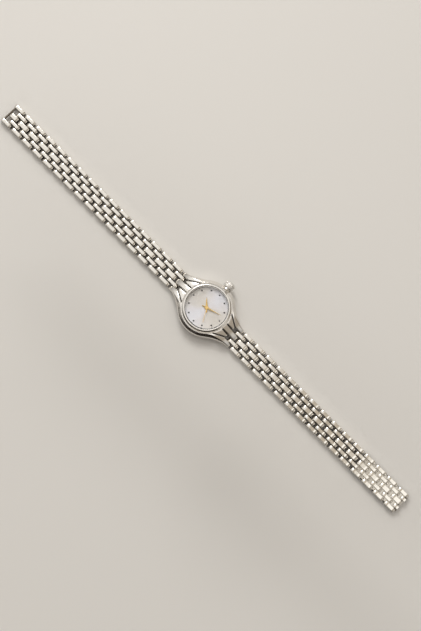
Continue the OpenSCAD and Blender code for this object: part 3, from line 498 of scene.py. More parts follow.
def vector(tree, x, y, z):
    """A vector from three numbers or fields."""
    made = add(tree, "ShaderNodeCombineXYZ")
    for socket, value in zip(made.inputs, (x, y, z)):
        fill(tree, socket, plain(value))
    return made.outputs["Vector"]


# %% Start and end of a Geometry Nodes tree
def new_tree(name, inputs):
    """A Geometry Nodes tree with named inputs, and its inputs as a dict of sockets."""
    made = bpy.data.node_groups.new(name, "GeometryNodeTree")
    for label, (kind, value) in inputs.items():
        socket = made.interface.new_socket(label, in_out="INPUT", socket_type="NodeSocket" + kind)
        if value is not None:
            socket.default_value = value
    made.interface.new_socket("Geometry", in_out="OUTPUT", socket_type="NodeSocketGeometry")
    entry = made.nodes.new("NodeGroupInput")
    return made, {label: entry.outputs[label] for label in inputs}


def finish_tree(tree, geometry):
    """Joins the last geometry to the tree's output."""
    last = tree.nodes.new("NodeGroupOutput")
    tree.links.new(geometry, last.inputs["Geometry"])


# %% Run a tree and keep the result as a plain mesh
def grow(name, tree, **inputs):
    """A plain mesh object made by a tree, each input set through its socket's identifier."""
    piece = bpy.data.objects.new(name, bpy.data.meshes.new(name))
    scene.collection.objects.link(piece)
    modifier = piece.modifiers.new("tree", "NODES")
    modifier.node_group = tree
    for socket in tree.interface.items_tree:
        key = socket.name.replace(" ", "_")
        if socket.in_out == "INPUT" and key in inputs:
            modifier[socket.identifier] = inputs[key]
    graph = bpy.context.evaluated_depsgraph_get()
    mesh = bpy.data.meshes.new_from_object(piece.evaluated_get(graph), depsgraph=graph)
    piece.modifiers.clear()
    piece.data = mesh
    mesh.name = name
    return piece


# %% [markdown]
# ## One link
#
# A link is a small bar between two pins. From the side it is a bar with half-round ends, each
# about a pin. From its end it is a box with well rounded edges, which a superellipse describes in
# one formula. The two are combined on a grid: one direction of the grid goes round the link, the
# other from tip to tip. Along the middle the height is full, and over the round end it follows a
# quarter circle down to nothing. The grid's two long sides meet, and Merge by Distance closes them.

# %% The link's tree
STEPS_ROUND = 24
STEPS_ALONG = 18
STRAIGHT_SHARE = 0.22  # of the steps, for the part between the two pins
EDGE_POWER = 0.36  # 1 makes an oval, 0 a sharp box
CORNER_TUCK, TUCK_POWER = 0.10, 6.0  # how much narrower the tips are, and how late that starts
MERGE_WITHIN = 0.02 * MM


def link_tree():
    """A tree that bends a grid into one link."""
    tree, given = new_tree("link", {
        "Width": ("Float", 1.35 * MM), "Thickness": ("Float", 2.1 * MM),
        "Pin distance": ("Float", 2.5 * MM)})
    width, thickness, distance = (Field(tree, socket) for socket in given.values())
    grid = add(tree, "GeometryNodeMeshGrid", Size_X=1.0, Size_Y=1.0,
               Vertices_X=STEPS_ROUND + 1, Vertices_Y=STEPS_ALONG + 1)
    grid_x, grid_y, _ = point(tree)
    around, along = grid_x * (2 * math.pi), grid_y * 2.0
    reach = along.step("ABSOLUTE").socket
    straight = add(tree, "ShaderNodeMapRange", Value=reach, From_Max=STRAIGHT_SHARE)
    straight = Field(tree, straight.outputs["Result"])
    turn = add(tree, "ShaderNodeMapRange", Value=reach, From_Min=STRAIGHT_SHARE, To_Max=math.pi / 2)
    turn = Field(tree, turn.outputs["Result"])
    radius = thickness * 0.5
    tuck = turn.step("SINE").step("POWER", TUCK_POWER) * -CORNER_TUCK + 1.0
    x = width * -0.5 * tuck * around.step("COSINE").signed_power(EDGE_POWER)
    y = along.step("SIGN") * (straight * distance * 0.5 + radius * turn.step("SINE"))
    z = radius * turn.step("COSINE") * around.step("SINE").signed_power(EDGE_POWER)
    bent = add(tree, "GeometryNodeSetPosition", Geometry=grid.outputs["Mesh"],
               Position=vector(tree, x, y, z))
    closed = add(tree, "GeometryNodeMergeByDistance", Geometry=bent.outputs["Geometry"],
                 Distance=MERGE_WITHIN)
    smooth = add(tree, "GeometryNodeSetShadeSmooth", Geometry=closed.outputs["Geometry"])
    finish_tree(tree, smooth.outputs["Geometry"])
    return tree


one_link = link_tree()
print("link tree:", len(one_link.nodes), "nodes")

# %% [markdown]
# ## A row of links
#
# The bracelet has five columns. In each row the two second-column links run from the row's first
# pin to its next one, and the three middle links run on from there to the following row. The tree
# puts one link on each point of a short line of points per column, adds the pins across, and then
# clamps the points to a lowest height and a furthest reach. The clamps do nothing on a plain row;
# on the clasp's cover they flatten the underside and the end.

# %% Sizes of the bracelet, measured on the frame
row_low, row_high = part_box("upper_row_02")
link_thick, band_wide = row_high.z - row_low.z, row_high.x - row_low.x
link_radius = link_thick / 2
row_step = abs(hinge["upper_row_03"]["pos_m"][1] - hinge["upper_row_02"]["pos_m"][1])
pin_gap, pin_height = row_step / 2, hinge["upper_row_02"]["pos_m"][2]
CENTRE_WIDE, SECOND_WIDE, OUTER_WIDE = 1.75 * MM, 1.25 * MM, 1.35 * MM
COLUMN_GAP = 0.18 * MM
second_out = CENTRE_WIDE / 2 + COLUMN_GAP + SECOND_WIDE / 2
outer_out = band_wide / 2 - OUTER_WIDE / 2
print("links, mm: thick", round(link_thick / MM, 2), "pins", round(pin_gap / MM, 2),
      "apart, band", round(band_wide / MM, 2))

# %% The row's tree
PIN_SIDES, PIN_RADIUS = 20, 0.35 * MM
PIN_SHORT = 0.06 * MM  # how much shorter a pin is than the bracelet is wide


def in_line(tree, instance, count, start, offset, **more):
    """Instances of a geometry on a line of points."""
    line = add(tree, "GeometryNodeMeshLine", Count=count, Start_Location=start, Offset=offset)
    placed = add(tree, "GeometryNodeInstanceOnPoints", Points=line.outputs["Mesh"],
                 Instance=instance, **more)
    return placed.outputs["Instances"]


def row_tree():
    """A tree that lays out the links and pins of one row or more."""
    tree, given = new_tree("rows of links", {
        "First pin": ("Float", 0.0), "Side": ("Float", 1.0),
        "Second rows": ("Int", 1), "Middle rows": ("Int", 1), "Pins": ("Int", 2),
        "Centre pin distance": ("Float", pin_gap),
        "Lowest": ("Float", 0.0), "Furthest": ("Float", 1.0), "Material": ("Material", None)})
    start, side = Field(tree, given["First pin"]), Field(tree, given["Side"])
    centre_y = start + pin_gap + Field(tree, given["Centre pin distance"]) * 0.5
    second_y, outer_y = start + pin_gap / 2, start + pin_gap * 1.5
    columns = [(x, SECOND_WIDE, second_y, "Second rows") for x in (-second_out, second_out)]
    columns += [(x, OUTER_WIDE, outer_y, "Middle rows") for x in (-outer_out, outer_out)]
    columns += [(0.0, CENTRE_WIDE, centre_y, "Middle rows")]
    parts = add(tree, "GeometryNodeJoinGeometry")
    for x, wide, y, rows in columns:
        link = add(tree, "GeometryNodeGroup", {"node_tree": one_link}, Width=wide,
                   Thickness=link_thick,
                   Pin_distance=given["Centre pin distance"] if x == 0 else pin_gap)
        links = in_line(tree, link.outputs["Geometry"], given[rows],
                        start=vector(tree, x, y * side, pin_height),
                        offset=vector(tree, 0, side * row_step, 0))
        tree.links.new(links, parts.inputs["Geometry"])
    pin = add(tree, "GeometryNodeMeshCylinder", Vertices=PIN_SIDES, Radius=PIN_RADIUS,
              Depth=band_wide - PIN_SHORT)
    round_pin = add(tree, "GeometryNodeSetShadeSmooth", Geometry=pin.outputs["Mesh"],
                    Selection=pin.outputs["Side"])
    pins = in_line(tree, round_pin.outputs["Geometry"], given["Pins"],
                   start=vector(tree, 0, start * side, pin_height),
                   offset=vector(tree, 0, side * pin_gap, 0), Rotation=(0, math.pi / 2, 0))
    tree.links.new(pins, parts.inputs["Geometry"])
    real = add(tree, "GeometryNodeRealizeInstances", Geometry=parts.outputs["Geometry"])
    x, y, z = point(tree)
    y = (y * side).step("MINIMUM", Field(tree, given["Furthest"])) * side
    z = z.step("MAXIMUM", Field(tree, given["Lowest"]))
    clamped = add(tree, "GeometryNodeSetPosition", Geometry=real.outputs["Geometry"],
                  Position=vector(tree, x, y, z))
    dressed = add(tree, "GeometryNodeSetMaterial", Geometry=clamped.outputs["Geometry"],
                  Material=given["Material"])
    finish_tree(tree, dressed.outputs["Geometry"])
    return tree


rows_of_links = row_tree()
print("row tree:", len(rows_of_links.nodes), "nodes")


# %% Put a piece into the model
def settle(piece, node):
    """The piece stands for a CAD node: it rides on the node's body, and the node is hidden."""
    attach(piece, body_of[node])
    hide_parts(node)


def first_pin(node):
    """Distance along the bracelet from the dial's centre to the pin that a row turns on."""
    return abs(hinge[node]["pos_m"][1])


# %% All the plain rows
plain_rows = sorted(n for n in nodes if n.startswith(("upper_row_", "lower_row_")))
faces = 0
for node in plain_rows:
    piece = grow(node + "_links", rows_of_links, First_pin=first_pin(node),
                 Side=1.0 if node.startswith("upper") else -1.0, Material=link_steel)
    settle(piece, node)
    faces += len(piece.data.polygons)
print(len(plain_rows), "rows,", faces, "faces")


# %% [markdown]
# ## Rods and blocks
#
# A few plain engineering shapes are left: the bar at the bracelet's end, and the plate, knuckles
# and pin of the clasp. They are built in one mesh each with bmesh, then a Bevel modifier breaks
# their edges, because no edge on a watch is left sharp.

# %% Helpers for rods and blocks
ROD_SIDES, ROD_EDGE = 28, 0.05 * MM


def rod(shape, radius, length, y, z, x=0.0):
    """A round bar along X."""
    place = Matrix.Translation((x, y, z)) @ Matrix.Rotation(math.pi / 2, 4, "Y")
    bmesh.ops.create_cone(shape, cap_ends=True, segments=ROD_SIDES, radius1=radius, radius2=radius,
                          depth=length, matrix=place)


def block(shape, low, high):
    """A box between two corners."""
    middle, size = (Vector(low) + Vector(high)) / 2, Vector(high) - Vector(low)
    place = Matrix.Translation(middle) @ Matrix.Diagonal((*size, 1))
    bmesh.ops.create_cube(shape, size=1.0, matrix=place)


def bevelled(name, shape, edge, material, angle=40, segments=3):
    """A mesh object from a bmesh, its sharp edges rounded by a Bevel modifier that is applied."""
    mesh = bpy.data.meshes.new(name)
    shape.to_mesh(mesh)
    shape.free()
    mesh.materials.append(material)
    mesh.shade_smooth()
    piece = bpy.data.objects.new(name, mesh)
    scene.collection.objects.link(piece)
    if edge:
        bevel = piece.modifiers.new("edges", "BEVEL")
        bevel.width, bevel.segments = edge, segments
        bevel.limit_method, bevel.angle_limit = "ANGLE", math.radians(angle)
        bevel.harden_normals = True
    mesh.set_sharp_from_angle(angle=math.radians(angle))
    graph = bpy.context.evaluated_depsgraph_get()
    piece.data = bpy.data.meshes.new_from_object(piece.evaluated_get(graph), depsgraph=graph)
    piece.modifiers.clear()
    return piece


# %% The row with the catch bar
BAR_RADIUS, BAR_INSET = 0.35 * MM, 0.12 * MM
BAR_PAST = 0.3 * MM  # past the place that the next row's pin would have
HOOK_ROOM = 0.1 * MM  # between the bar and the middle link, which is shorter than its neighbours
NOSE_SHARE = 0.6  # of a link's radius, kept free past its pin

end_pin = first_pin("upper_end_piece")
bar_y = end_pin + row_step + BAR_PAST
middle_gap = pin_gap - BAR_RADIUS - HOOK_ROOM - link_radius * NOSE_SHARE
last_row = grow("end_row_links", rows_of_links, First_pin=end_pin, Side=1.0,
                Centre_pin_distance=middle_gap, Material=link_steel)
settle(last_row, "upper_end_piece")
shape = bmesh.new()
rod(shape, BAR_RADIUS, band_wide - 2 * BAR_INSET, bar_y, pin_height)
settle(bevelled("catch_bar", shape, ROD_EDGE, link_steel), "upper_end_piece")
cad_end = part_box("upper_end_piece")[1].y
print("catch bar at", round(bar_y / MM, 2), "mm; the CAD ends at", round(cad_end / MM, 2))

# %% [markdown]
# ## The clasp's cover
#
# From above the cover looks like four more rows of links, but it is one rigid piece: thin link
# tops on a plate, with two knuckles for the leaf's hinge at its far end. The link tops come from
# the same tree, flattened from below. The first pair of second-column links is full height,
# because it still turns on a pin.

# %% Cover
COVER_ROWS, COVER_THICK = 4, 1.0 * MM
cover_pin = first_pin("clasp_cover")
cover_end = cover_pin + COVER_ROWS * row_step + link_radius
cover_z = link_thick - COVER_THICK
COVER_PARTS = {
    "cover_hinge": {"First_pin": cover_pin, "Middle_rows": 0, "Pins": 1},
    "cover_middle": {"First_pin": cover_pin, "Second_rows": 0, "Middle_rows": COVER_ROWS, "Pins": 0,
                     "Lowest": cover_z},
    "cover_second": {"First_pin": cover_pin + row_step, "Second_rows": COVER_ROWS, "Middle_rows": 0,
                     "Pins": 0, "Lowest": cover_z, "Furthest": cover_end},
}
for name, inputs in COVER_PARTS.items():
    piece = grow(name, rows_of_links, Side=-1.0, Material=link_steel, **inputs)
    settle(piece, "clasp_cover")
    print(name, len(piece.data.polygons), "faces")

# %% Plate, knuckles and hinge pin
PLATE_THICK, PLATE_SHORT = 0.45 * MM, 0.9 * MM
KNUCKLE_WIDE, KNUCKLE_RADIUS, KNUCKLE_FOOT = 1.4 * MM, 0.54 * MM, 0.1 * MM
HINGE_PIN_RADIUS = 0.25 * MM
BARREL_WIDE, BARREL_GAP = 2.7 * MM, 0.1 * MM  # the leaf's part of the hinge, between the knuckles

_, leaf_y, leaf_z = hinge["clasp_leaf"]["pos_m"]
knuckle_out = BARREL_WIDE / 2 + BARREL_GAP + KNUCKLE_WIDE / 2
shape = bmesh.new()
block(shape, (-outer_out, PLATE_SHORT - cover_end, cover_z),
      (outer_out, -cover_pin - pin_gap, cover_z + PLATE_THICK))
for x in (-knuckle_out, knuckle_out):
    rod(shape, KNUCKLE_RADIUS, KNUCKLE_WIDE, leaf_y, leaf_z, x)
    block(shape, (x - KNUCKLE_WIDE / 2, leaf_y - KNUCKLE_FOOT, leaf_z),
          (x + KNUCKLE_WIDE / 2, leaf_y + KNUCKLE_RADIUS, cover_z + PLATE_THICK / 2))
rod(shape, HINGE_PIN_RADIUS, 2 * knuckle_out + KNUCKLE_WIDE, leaf_y, leaf_z)
settle(bevelled("cover_frame", shape, ROD_EDGE, link_steel), "clasp_cover")
print("cover: rows", COVER_ROWS, "end at", round(cover_end / MM, 2), "mm")


# %% [markdown]
# ## Case back, crown and leaf
#
# The case back, the crown and the clasp's leaf have the right shape already, but their CAD meshes
# are loose triangles with razor edges. A copy is welded, its flat areas are joined, and a small
# bevel gives every edge the narrow highlight that polishing leaves.

# %% Softened copies of CAD nodes
WELD = 0.0005 * MM
FLAT = math.radians(0.6)
SOFT_ANGLE = 35  # degrees; flatter edges stay as they are
SOFT_EDGES = {
    "case_back": (0.06 * MM, brushed_back), "crown": (0.04 * MM, crown_steel),
    "clasp_leaf": (0.05 * MM, polished_steel),
}
for node, (edge, material) in SOFT_EDGES.items():
    shape = bmesh.new()
    shape.from_mesh(nodes[node].data)
    bmesh.ops.remove_doubles(shape, verts=shape.verts, dist=WELD)
    bmesh.ops.dissolve_limit(shape, angle_limit=FLAT, verts=shape.verts, edges=shape.edges)
    piece = bevelled(node + "_polished", shape, edge, material, SOFT_ANGLE)
    settle(piece, node)
    print(piece.name, len(piece.data.polygons), "faces")

# %% [markdown]
# ## Turned parts
#
# The bezel, the crystal, the ring round the dial, and the core of the case with its crown tube are
# turned on a lathe. In code that is a profile of (radius, height) points swept once round an axis.
# The profile is written corner by corner, and a helper rounds its corners, so that the turned
# edges catch light.

# %% Profiles with round corners
ROUNDING_STEPS = 5


def bend(start, corner, end, steps):
    """Points of a smooth bend between two points, drawn towards a corner."""
    start, corner, end = Vector(start), Vector(corner), Vector(end)
    shares = [k / steps for k in range(steps + 1)]
    return [start.lerp(corner, t).lerp(corner.lerp(end, t), t) for t in shares]


def rounded(corners):
    """A closed profile of points from corners (radius, height, rounding), all in millimetres."""
    points = []
    for i, (r, h, rounding) in enumerate(corners):
        corner = Vector((r, h))
        if not rounding:
            points.append(corner)
            continue
        before = Vector(corners[i - 1][:2]) - corner
        after = Vector(corners[(i + 1) % len(corners)][:2]) - corner
        points += bend(corner + before.normalized() * rounding, corner,
                       corner + after.normalized() * rounding, ROUNDING_STEPS)
    return [(p.x * MM, p.y * MM) for p in points]


# %% Lathe
TURN_STEPS = 160


def turned(shape, profile, place=Matrix.Identity(4)):
    """Sweeps a closed profile round the Z axis of place; points on the axis are merged later."""
    loops = []
    for k in range(TURN_STEPS):
        angle = 2 * math.pi * k / TURN_STEPS
        loops.append([shape.verts.new(place @ Vector((r * math.cos(angle), r * math.sin(angle), h)))
                      for r, h in profile])
    for k, loop in enumerate(loops):
        following = loops[(k + 1) % TURN_STEPS]
        for i in range(len(profile)):
            j = (i + 1) % len(profile)
            shape.faces.new((loop[i], loop[j], following[j], following[i]))


def closed(shape):
    """Merges doubled points and turns every face outwards."""
    bmesh.ops.remove_doubles(shape, verts=shape.verts, dist=WELD)
    bmesh.ops.recalc_face_normals(shape, faces=shape.faces)
    return shape


def turn_piece(name, profile, material, node):
    """A turned piece that stands for a CAD node."""
    shape = bmesh.new()
    turned(shape, profile)
    piece = bevelled(name, closed(shape), 0.0, material)
    settle(piece, node)
    print(name, len(piece.data.polygons), "faces")


# %% Bezel and dial ring
# The bezel is a flat bead round the crystal, and a slope from it to the outer wall.
BEZEL = [
    (8.05, 4.80, 0.0), (8.05, 5.69, 0.06), (7.60, 6.00, 0.10), (7.18, 6.00, 0.12), (7.14, 5.70, 0.0),
    (6.85, 5.70, 0.0), (6.85, 5.60, 0.0), (7.40, 5.60, 0.0), (7.40, 4.80, 0.0),
]
DIAL_RING = [(6.75, 4.70, 0.0), (6.85, 5.58, 0.03), (7.40, 5.60, 0.0), (7.40, 4.70, 0.0)]
turn_piece("bezel_turned", rounded(BEZEL), polished_steel, "bezel")
turn_piece("dial_ring_turned", rounded(DIAL_RING), ring_steel, "dial_ring")

# %% Crystal
CRYSTAL_RADIUS, CRYSTAL_EDGE, CRYSTAL_RISE, CRYSTAL_CHAMFER = 6.99, 0.7, 0.25, 0.12
DOME_STEPS = 24
crystal_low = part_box("crystal")[0].z / MM
dome = []
for k in range(DOME_STEPS + 1):
    r = (CRYSTAL_RADIUS - CRYSTAL_CHAMFER) * (1 - k / DOME_STEPS)
    dome.append((r, crystal_low + CRYSTAL_EDGE + CRYSTAL_RISE * (1 - (r / CRYSTAL_RADIUS) ** 2)))
glass = [(0.0, crystal_low), (CRYSTAL_RADIUS, crystal_low),
         (CRYSTAL_RADIUS, dome[0][1] - CRYSTAL_CHAMFER)] + dome
turn_piece("crystal_dome", [(r * MM, h * MM) for r, h in glass], crystal_glass, "crystal")

# %% [markdown]
# ## The case
#
# Seen from above the case is one flowing form. On each side a rounded bar runs from lug tip to lug
# tip round the movement, and between the bars three fingers fill each end. All of them fall in a
# wide arc to the bracelet's height. Polished steel shows every kink, so the bars aren't cut from a
# block: each one is a row of closed loops, and each loop follows the case's plan and its side view
# at once. Joining the loops gives an even mesh with soft shoulders.

# %% Side view of the case
CASE_LOW, CASE_TOP = 0.5 * MM, 4.8 * MM
FLAT_REACH, UNDER_REACH = 6.0 * MM, 8.35 * MM  # where the top starts to go down, and the underside
lug_pin = first_pin("upper_row_01")
fall_y, fall_z = lug_pin - FLAT_REACH, CASE_TOP - link_radius
fall_radius = (fall_y ** 2 + fall_z ** 2 - link_radius ** 2) / (2 * (fall_z - link_radius))
touch_y = FLAT_REACH + fall_radius * fall_y / (fall_radius - link_radius)


def case_heights(y):
    """Height of the case's underside and of its top at a distance y along the bracelet."""
    y = abs(y)
    nose = math.sqrt(max(0.0, link_radius ** 2 - max(0.0, y - lug_pin) ** 2))
    low = link_radius - nose
    if y < lug_pin:
        low = CASE_LOW * min(1.0, (lug_pin - y) / (lug_pin - UNDER_REACH))
    top = link_radius + nose
    if y < touch_y:
        top = CASE_TOP - fall_radius + math.sqrt(fall_radius ** 2 - max(0.0, y - FLAT_REACH) ** 2)
    return low, top


print("lug top at its pin, mm:", round(case_heights(lug_pin)[1] / MM, 2))

# %% Edges of a bar
CORNER_STEPS = 7


def quarter_circle(steps):
    """Points of a quarter circle from (0, 1) to (1, 0)."""
    turns = [math.pi / 2 * k / steps for k in range(steps + 1)]
    return [(1 - math.cos(t), 1 - math.sin(t)) for t in turns]


ROUND_EDGE = quarter_circle(CORNER_STEPS)
# A wide slope between two bends: the outer edge of the case.
SLOPE_EDGE = bend((0, 1), (0, 0.66), (0.24, 0.49), 6) + bend((0.92, 0.05), (0.97, 0), (1, 0), 4)
ROUND_LONG = quarter_circle(len(SLOPE_EDGE) - 1)  # a round edge with as many points as the slope


def edge_points(across, down, unit=ROUND_EDGE):
    """Points of an edge, from the wall to the flat, as (distance in, distance down)."""
    return [(across * s, down * d) for s, d in unit]


print("points of an edge:", len(ROUND_EDGE), "round,", len(SLOPE_EDGE), "sloped")

# %% Loops across a bar
GROOVE_OUT = 8.35 * MM  # radius of the opening inside the bars
LOW_EDGE = 0.18 * MM
# The most of a bar's width and height that an edge takes where the bar is narrow or low.
LOW_SHARES, INNER_SHARES, OUTER_SHARES = (0.3, 0.3), (0.4, 0.5), (0.98, 0.62)


def loop_across(shape, inner, outer, inner_edge, outer_edge, shrink=0.0, outer_unit=ROUND_EDGE):
    """A closed loop between two points of the plan; each edge is (across, down) of its rounding."""
    way = (Vector(outer) - Vector(inner)).normalized()
    inner, outer = Vector(inner) + way * shrink, Vector(outer) - way * shrink
    width = (outer - inner).length
    low, top = case_heights((inner.y + outer.y) / 2)
    tall = top - low
    low_edge = (min(LOW_EDGE, width * LOW_SHARES[0]), min(LOW_EDGE, tall * LOW_SHARES[1]))
    inner_edge = (min(inner_edge[0], width * INNER_SHARES[0]),
                  min(inner_edge[1], tall * INNER_SHARES[1]))
    outer_edge = (min(outer_edge[0], width * OUTER_SHARES[0] - inner_edge[0]),
                  min(outer_edge[1], tall * OUTER_SHARES[1]))
    points = [(s, 0, d) for s, d in reversed(edge_points(*low_edge))]
    points += [(s, 1, d) for s, d in edge_points(*inner_edge)]
    points += [(width - s, 1, d) for s, d in reversed(edge_points(*outer_edge, outer_unit))]
    points += [(width - s, 0, d) for s, d in edge_points(*low_edge)]
    loop = []
    for s, above, depth in points:
        place = inner + way * s
        place *= max(1.0, GROOVE_OUT / place.length)
        low, top = case_heights(place.y)
        height = top - depth - shrink if above else low + depth + shrink
        middle = (low + top) / 2
        height = max(height, middle) if above else min(height, middle)
        loop.append(shape.verts.new((place.x, place.y, height)))
    return loop


def bar_of(shape, loops):
    """Joins loops into a closed bar."""
    for one, other in zip(loops, loops[1:]):
        for i in range(len(one)):
            j = (i + 1) % len(one)
            shape.faces.new((one[i], one[j], other[j], other[i]))
    for end in (loops[0], loops[-1]):
        shape.faces.new(end)


# %% [markdown]
# The plan of a side bar lies between two lines. The outer one follows the round head and leaves it
# on a long hollow arc, the flank, which ends beside the bracelet and runs straight to the lug's
# tip. The inner one follows the opening for the movement, and then the slot between the bar and the
# finger next to it.

# %% Outer line of the plan
CASE_RADIUS, FLANK_RADIUS = 9.5 * MM, 22 * MM
FLANK_BITE = 0.05 * MM  # how deep the flank's arc cuts into the round head's
LUG_REACH, LUG_STRAIGHT = 13.9 * MM, 1.6 * MM
LUG_ASIDE = 0.1 * MM  # how far the lugs stand outside the bracelet's edges


def on_circle(radius, angle):
    """A point on a circle; the angle starts at 3 o'clock and runs towards 12."""
    return Vector((math.cos(angle), math.sin(angle))) * radius


lug_half = band_wide / 2 + LUG_ASIDE
flank_end = LUG_REACH - LUG_STRAIGHT
flank_reach = CASE_RADIUS + FLANK_RADIUS - FLANK_BITE
tip_distance = math.hypot(lug_half, flank_end)
flank_angle = math.atan2(flank_end, lug_half) - math.acos(
    (flank_reach ** 2 + tip_distance ** 2 - FLANK_RADIUS ** 2) / (2 * flank_reach * tip_distance))
flank_middle = on_circle(flank_reach, flank_angle)
print("flank leaves the round case at", round(math.degrees(flank_angle), 1), "degrees")

# %% Inner line of the plan
FINGER_ROOT, SECOND_REACH = 8.2 * MM, 10.9 * MM  # where fingers start, and the second ones end
SLOT_ANGLE = math.radians(52)  # of the slot's start, from 3 o'clock
LINK_ROOM = 0.03 * MM  # between a lug and the link beside it
pocket_out = outer_out - OUTER_WIDE / 2 - LINK_ROOM
slot_start, slot_end = on_circle(FINGER_ROOT, SLOT_ANGLE), Vector((pocket_out, SECOND_REACH))
along_slot = slot_end - slot_start
slot_square = along_slot.length_squared
reach = slot_start.dot(along_slot) / slot_square
groove_exit = slot_start + along_slot * (
    math.sqrt(reach ** 2 + (GROOVE_OUT ** 2 - slot_start.length_squared) / slot_square) - reach)
inner_line = [on_circle(GROOVE_OUT, math.radians(a)) for a in range(20, 90)]
inner_line = [p for p in inner_line if p.y < groove_exit.y]
inner_line += [groove_exit, slot_end, Vector((pocket_out, LUG_REACH))]
print("inner line:", len(inner_line), "points")

# %% Stations of one side bar, from 3 o'clock to the 12 o'clock lug tip
ROUND_STATIONS, FLANK_STATIONS, TIP_STATIONS = 18, 30, 14
BAR_WIDEST = 4 * MM  # how far inwards the inner line is looked for

stations = [(on_circle(GROOVE_OUT, a), on_circle(CASE_RADIUS, a))
            for a in (flank_angle * k / ROUND_STATIONS for k in range(ROUND_STATIONS))]
first_turn = math.atan2(-flank_middle.y, -flank_middle.x)
last_turn = math.atan2(flank_end - flank_middle.y, lug_half - flank_middle.x)
for k in range(FLANK_STATIONS + 1):
    turn = first_turn + (last_turn - first_turn) * k / FLANK_STATIONS
    if turn > 0:
        turn -= 2 * math.pi
    out = flank_middle + on_circle(FLANK_RADIUS, turn)
    far_in = out + on_circle(BAR_WIDEST, turn)
    hits = [intersect_line_line_2d(out, far_in, a, b) for a, b in zip(inner_line, inner_line[1:])]
    out *= max(1.0, CASE_RADIUS / out.length)
    stations.append((min((h for h in hits if h), key=lambda h: (h - out).length), out))
last_in, last_out = stations[-1]
for k in range(1, TIP_STATIONS + 1):
    share = math.sin(math.pi / 2 * k / TIP_STATIONS)
    stations.append((Vector((pocket_out, last_in.y + (LUG_REACH - last_in.y) * share)),
                     Vector((lug_half, last_out.y + (LUG_REACH - last_out.y) * share))))
print(len(stations), "stations from 3 o'clock to the tip")

# %% Smooth the outer line, so that no kink shows where the flank leaves the circle
SMOOTHINGS = 10  # rounds of averaging
SMOOTH_TO = ROUND_STATIONS + FLANK_STATIONS + 4
for _ in range(SMOOTHINGS):
    outers = [out for _, out in stations]
    for k in range(1, SMOOTH_TO):
        out = (outers[k - 1] + outers[k] * 2 + outers[k + 1]) / 4
        stations[k] = (stations[k][0], out)
print("lug tip, mm:", [round(v / MM, 2) for v in stations[-1][1]])

# %% Side bars
SIDE_INNER, SIDE_OUTER = (0.05 * MM, 0.05 * MM), (1.1 * MM, 1.45 * MM)
LUG_INNER, LUG_OUTER = (0.25 * MM, 0.25 * MM), (0.50 * MM, 0.50 * MM)
SIDE_ENDS, LUG_STARTS = 8.0 * MM, 12.0 * MM  # between these the edges change from side to lug


def mirrored(pair, x, y):
    """Two points of the plan, each multiplied by the signs x and y."""
    return [Vector((p.x * x, p.y * y)) for p in pair]


def side_bar(shape, side):
    """A bar from the 6 o'clock lug's tip to the 12 o'clock one's."""
    path = [mirrored(pair, side, -1) for pair in reversed(stations[1:])]
    path += [mirrored(pair, side, 1) for pair in stations]
    loops = []
    for inner, outer in path:
        share = min(1.0, max(0.0, (abs(outer.y) - SIDE_ENDS) / (LUG_STARTS - SIDE_ENDS)))
        inner_edge = Vector(SIDE_INNER).lerp(Vector(LUG_INNER), share)
        outer_edge = Vector(SIDE_OUTER).lerp(Vector(LUG_OUTER), share)
        unit = [a.lerp(Vector(b), share) for a, b in zip(SLOPE_EDGE, ROUND_LONG)]
        loops.append(loop_across(shape, inner, outer, inner_edge, outer_edge, outer_unit=unit))
    bar_of(shape, loops)


# %% Fingers
FINGER_EDGE, END_EDGE = (0.34 * MM, 0.3 * MM), 0.1 * MM
FINGER_STATIONS = 16
SLOT_WIDE = 0.35 * MM
SLOT_SHARE = 0.12  # how far up the slot the second finger's outer side starts
pocket_in = CENTRE_WIDE / 2 + LINK_ROOM


def second_finger(shape, side, end):
    """The finger next to a side bar, with a small round edge at its end."""
    root_in = Vector((pocket_in + SLOT_WIDE, FINGER_ROOT))
    root_out = slot_start - Vector((SLOT_WIDE, 0)) + along_slot * SLOT_SHARE
    tip_in = Vector((root_in.x, SECOND_REACH))
    tip_out = Vector((pocket_out - SLOT_WIDE, SECOND_REACH))
    pairs = [mirrored((root_in.lerp(tip_in, t), root_out.lerp(tip_out, t)), side, end)
             for t in (k / FINGER_STATIONS for k in range(FINGER_STATIONS + 1))]
    tip = pairs.pop()
    short = Vector((0, end * END_EDGE))
    pairs.append((tip[0] - short, tip[1] - short))
    loops = [loop_across(shape, *pair, FINGER_EDGE, FINGER_EDGE) for pair in pairs]
    bar_of(shape, loops + [loop_across(shape, *tip, FINGER_EDGE, FINGER_EDGE, END_EDGE)])


def middle_finger(shape, end):
    """The finger on the middle line, as long as the lugs."""
    steps = 2 * FINGER_STATIONS
    loops = []
    for k in range(steps + 1):
        y = FINGER_ROOT + (LUG_REACH - FINGER_ROOT) * math.sin(math.pi / 2 * k / steps)
        pair = mirrored((Vector((-pocket_in, y)), Vector((pocket_in, y))), 1, end)
        loops.append(loop_across(shape, *pair, FINGER_EDGE, FINGER_EDGE))
    bar_of(shape, loops)


# %% Core of the case and the crown's tube
CORE = [
    (7.60, 0.70, 0.0), (8.00, 0.70, 0.0), (8.00, 0.50, 0.05), (8.40, 0.50, 0.0), (8.40, 3.90, 0.0),
    (8.05, 3.90, 0.05), (8.05, 4.80, 0.04), (7.60, 4.80, 0.04),
]
TUBE = [  # the wide part inside is the crown's seat
    (0.38, 7.62, 0.0), (1.02, 7.62, 0.0), (1.02, 9.52, 0.05), (0.73, 9.52, 0.0), (0.73, 10.75, 0.06),
    (0.38, 10.75, 0.06),
]
CASE_ANGLE = 50  # degrees; only sharper edges than this show as edges
crown_height = hinge["crown_works"]["pos_m"][2]
crown_axis = Matrix.Translation((0, 0, crown_height)) @ Matrix.Rotation(math.pi / 2, 4, "Y")

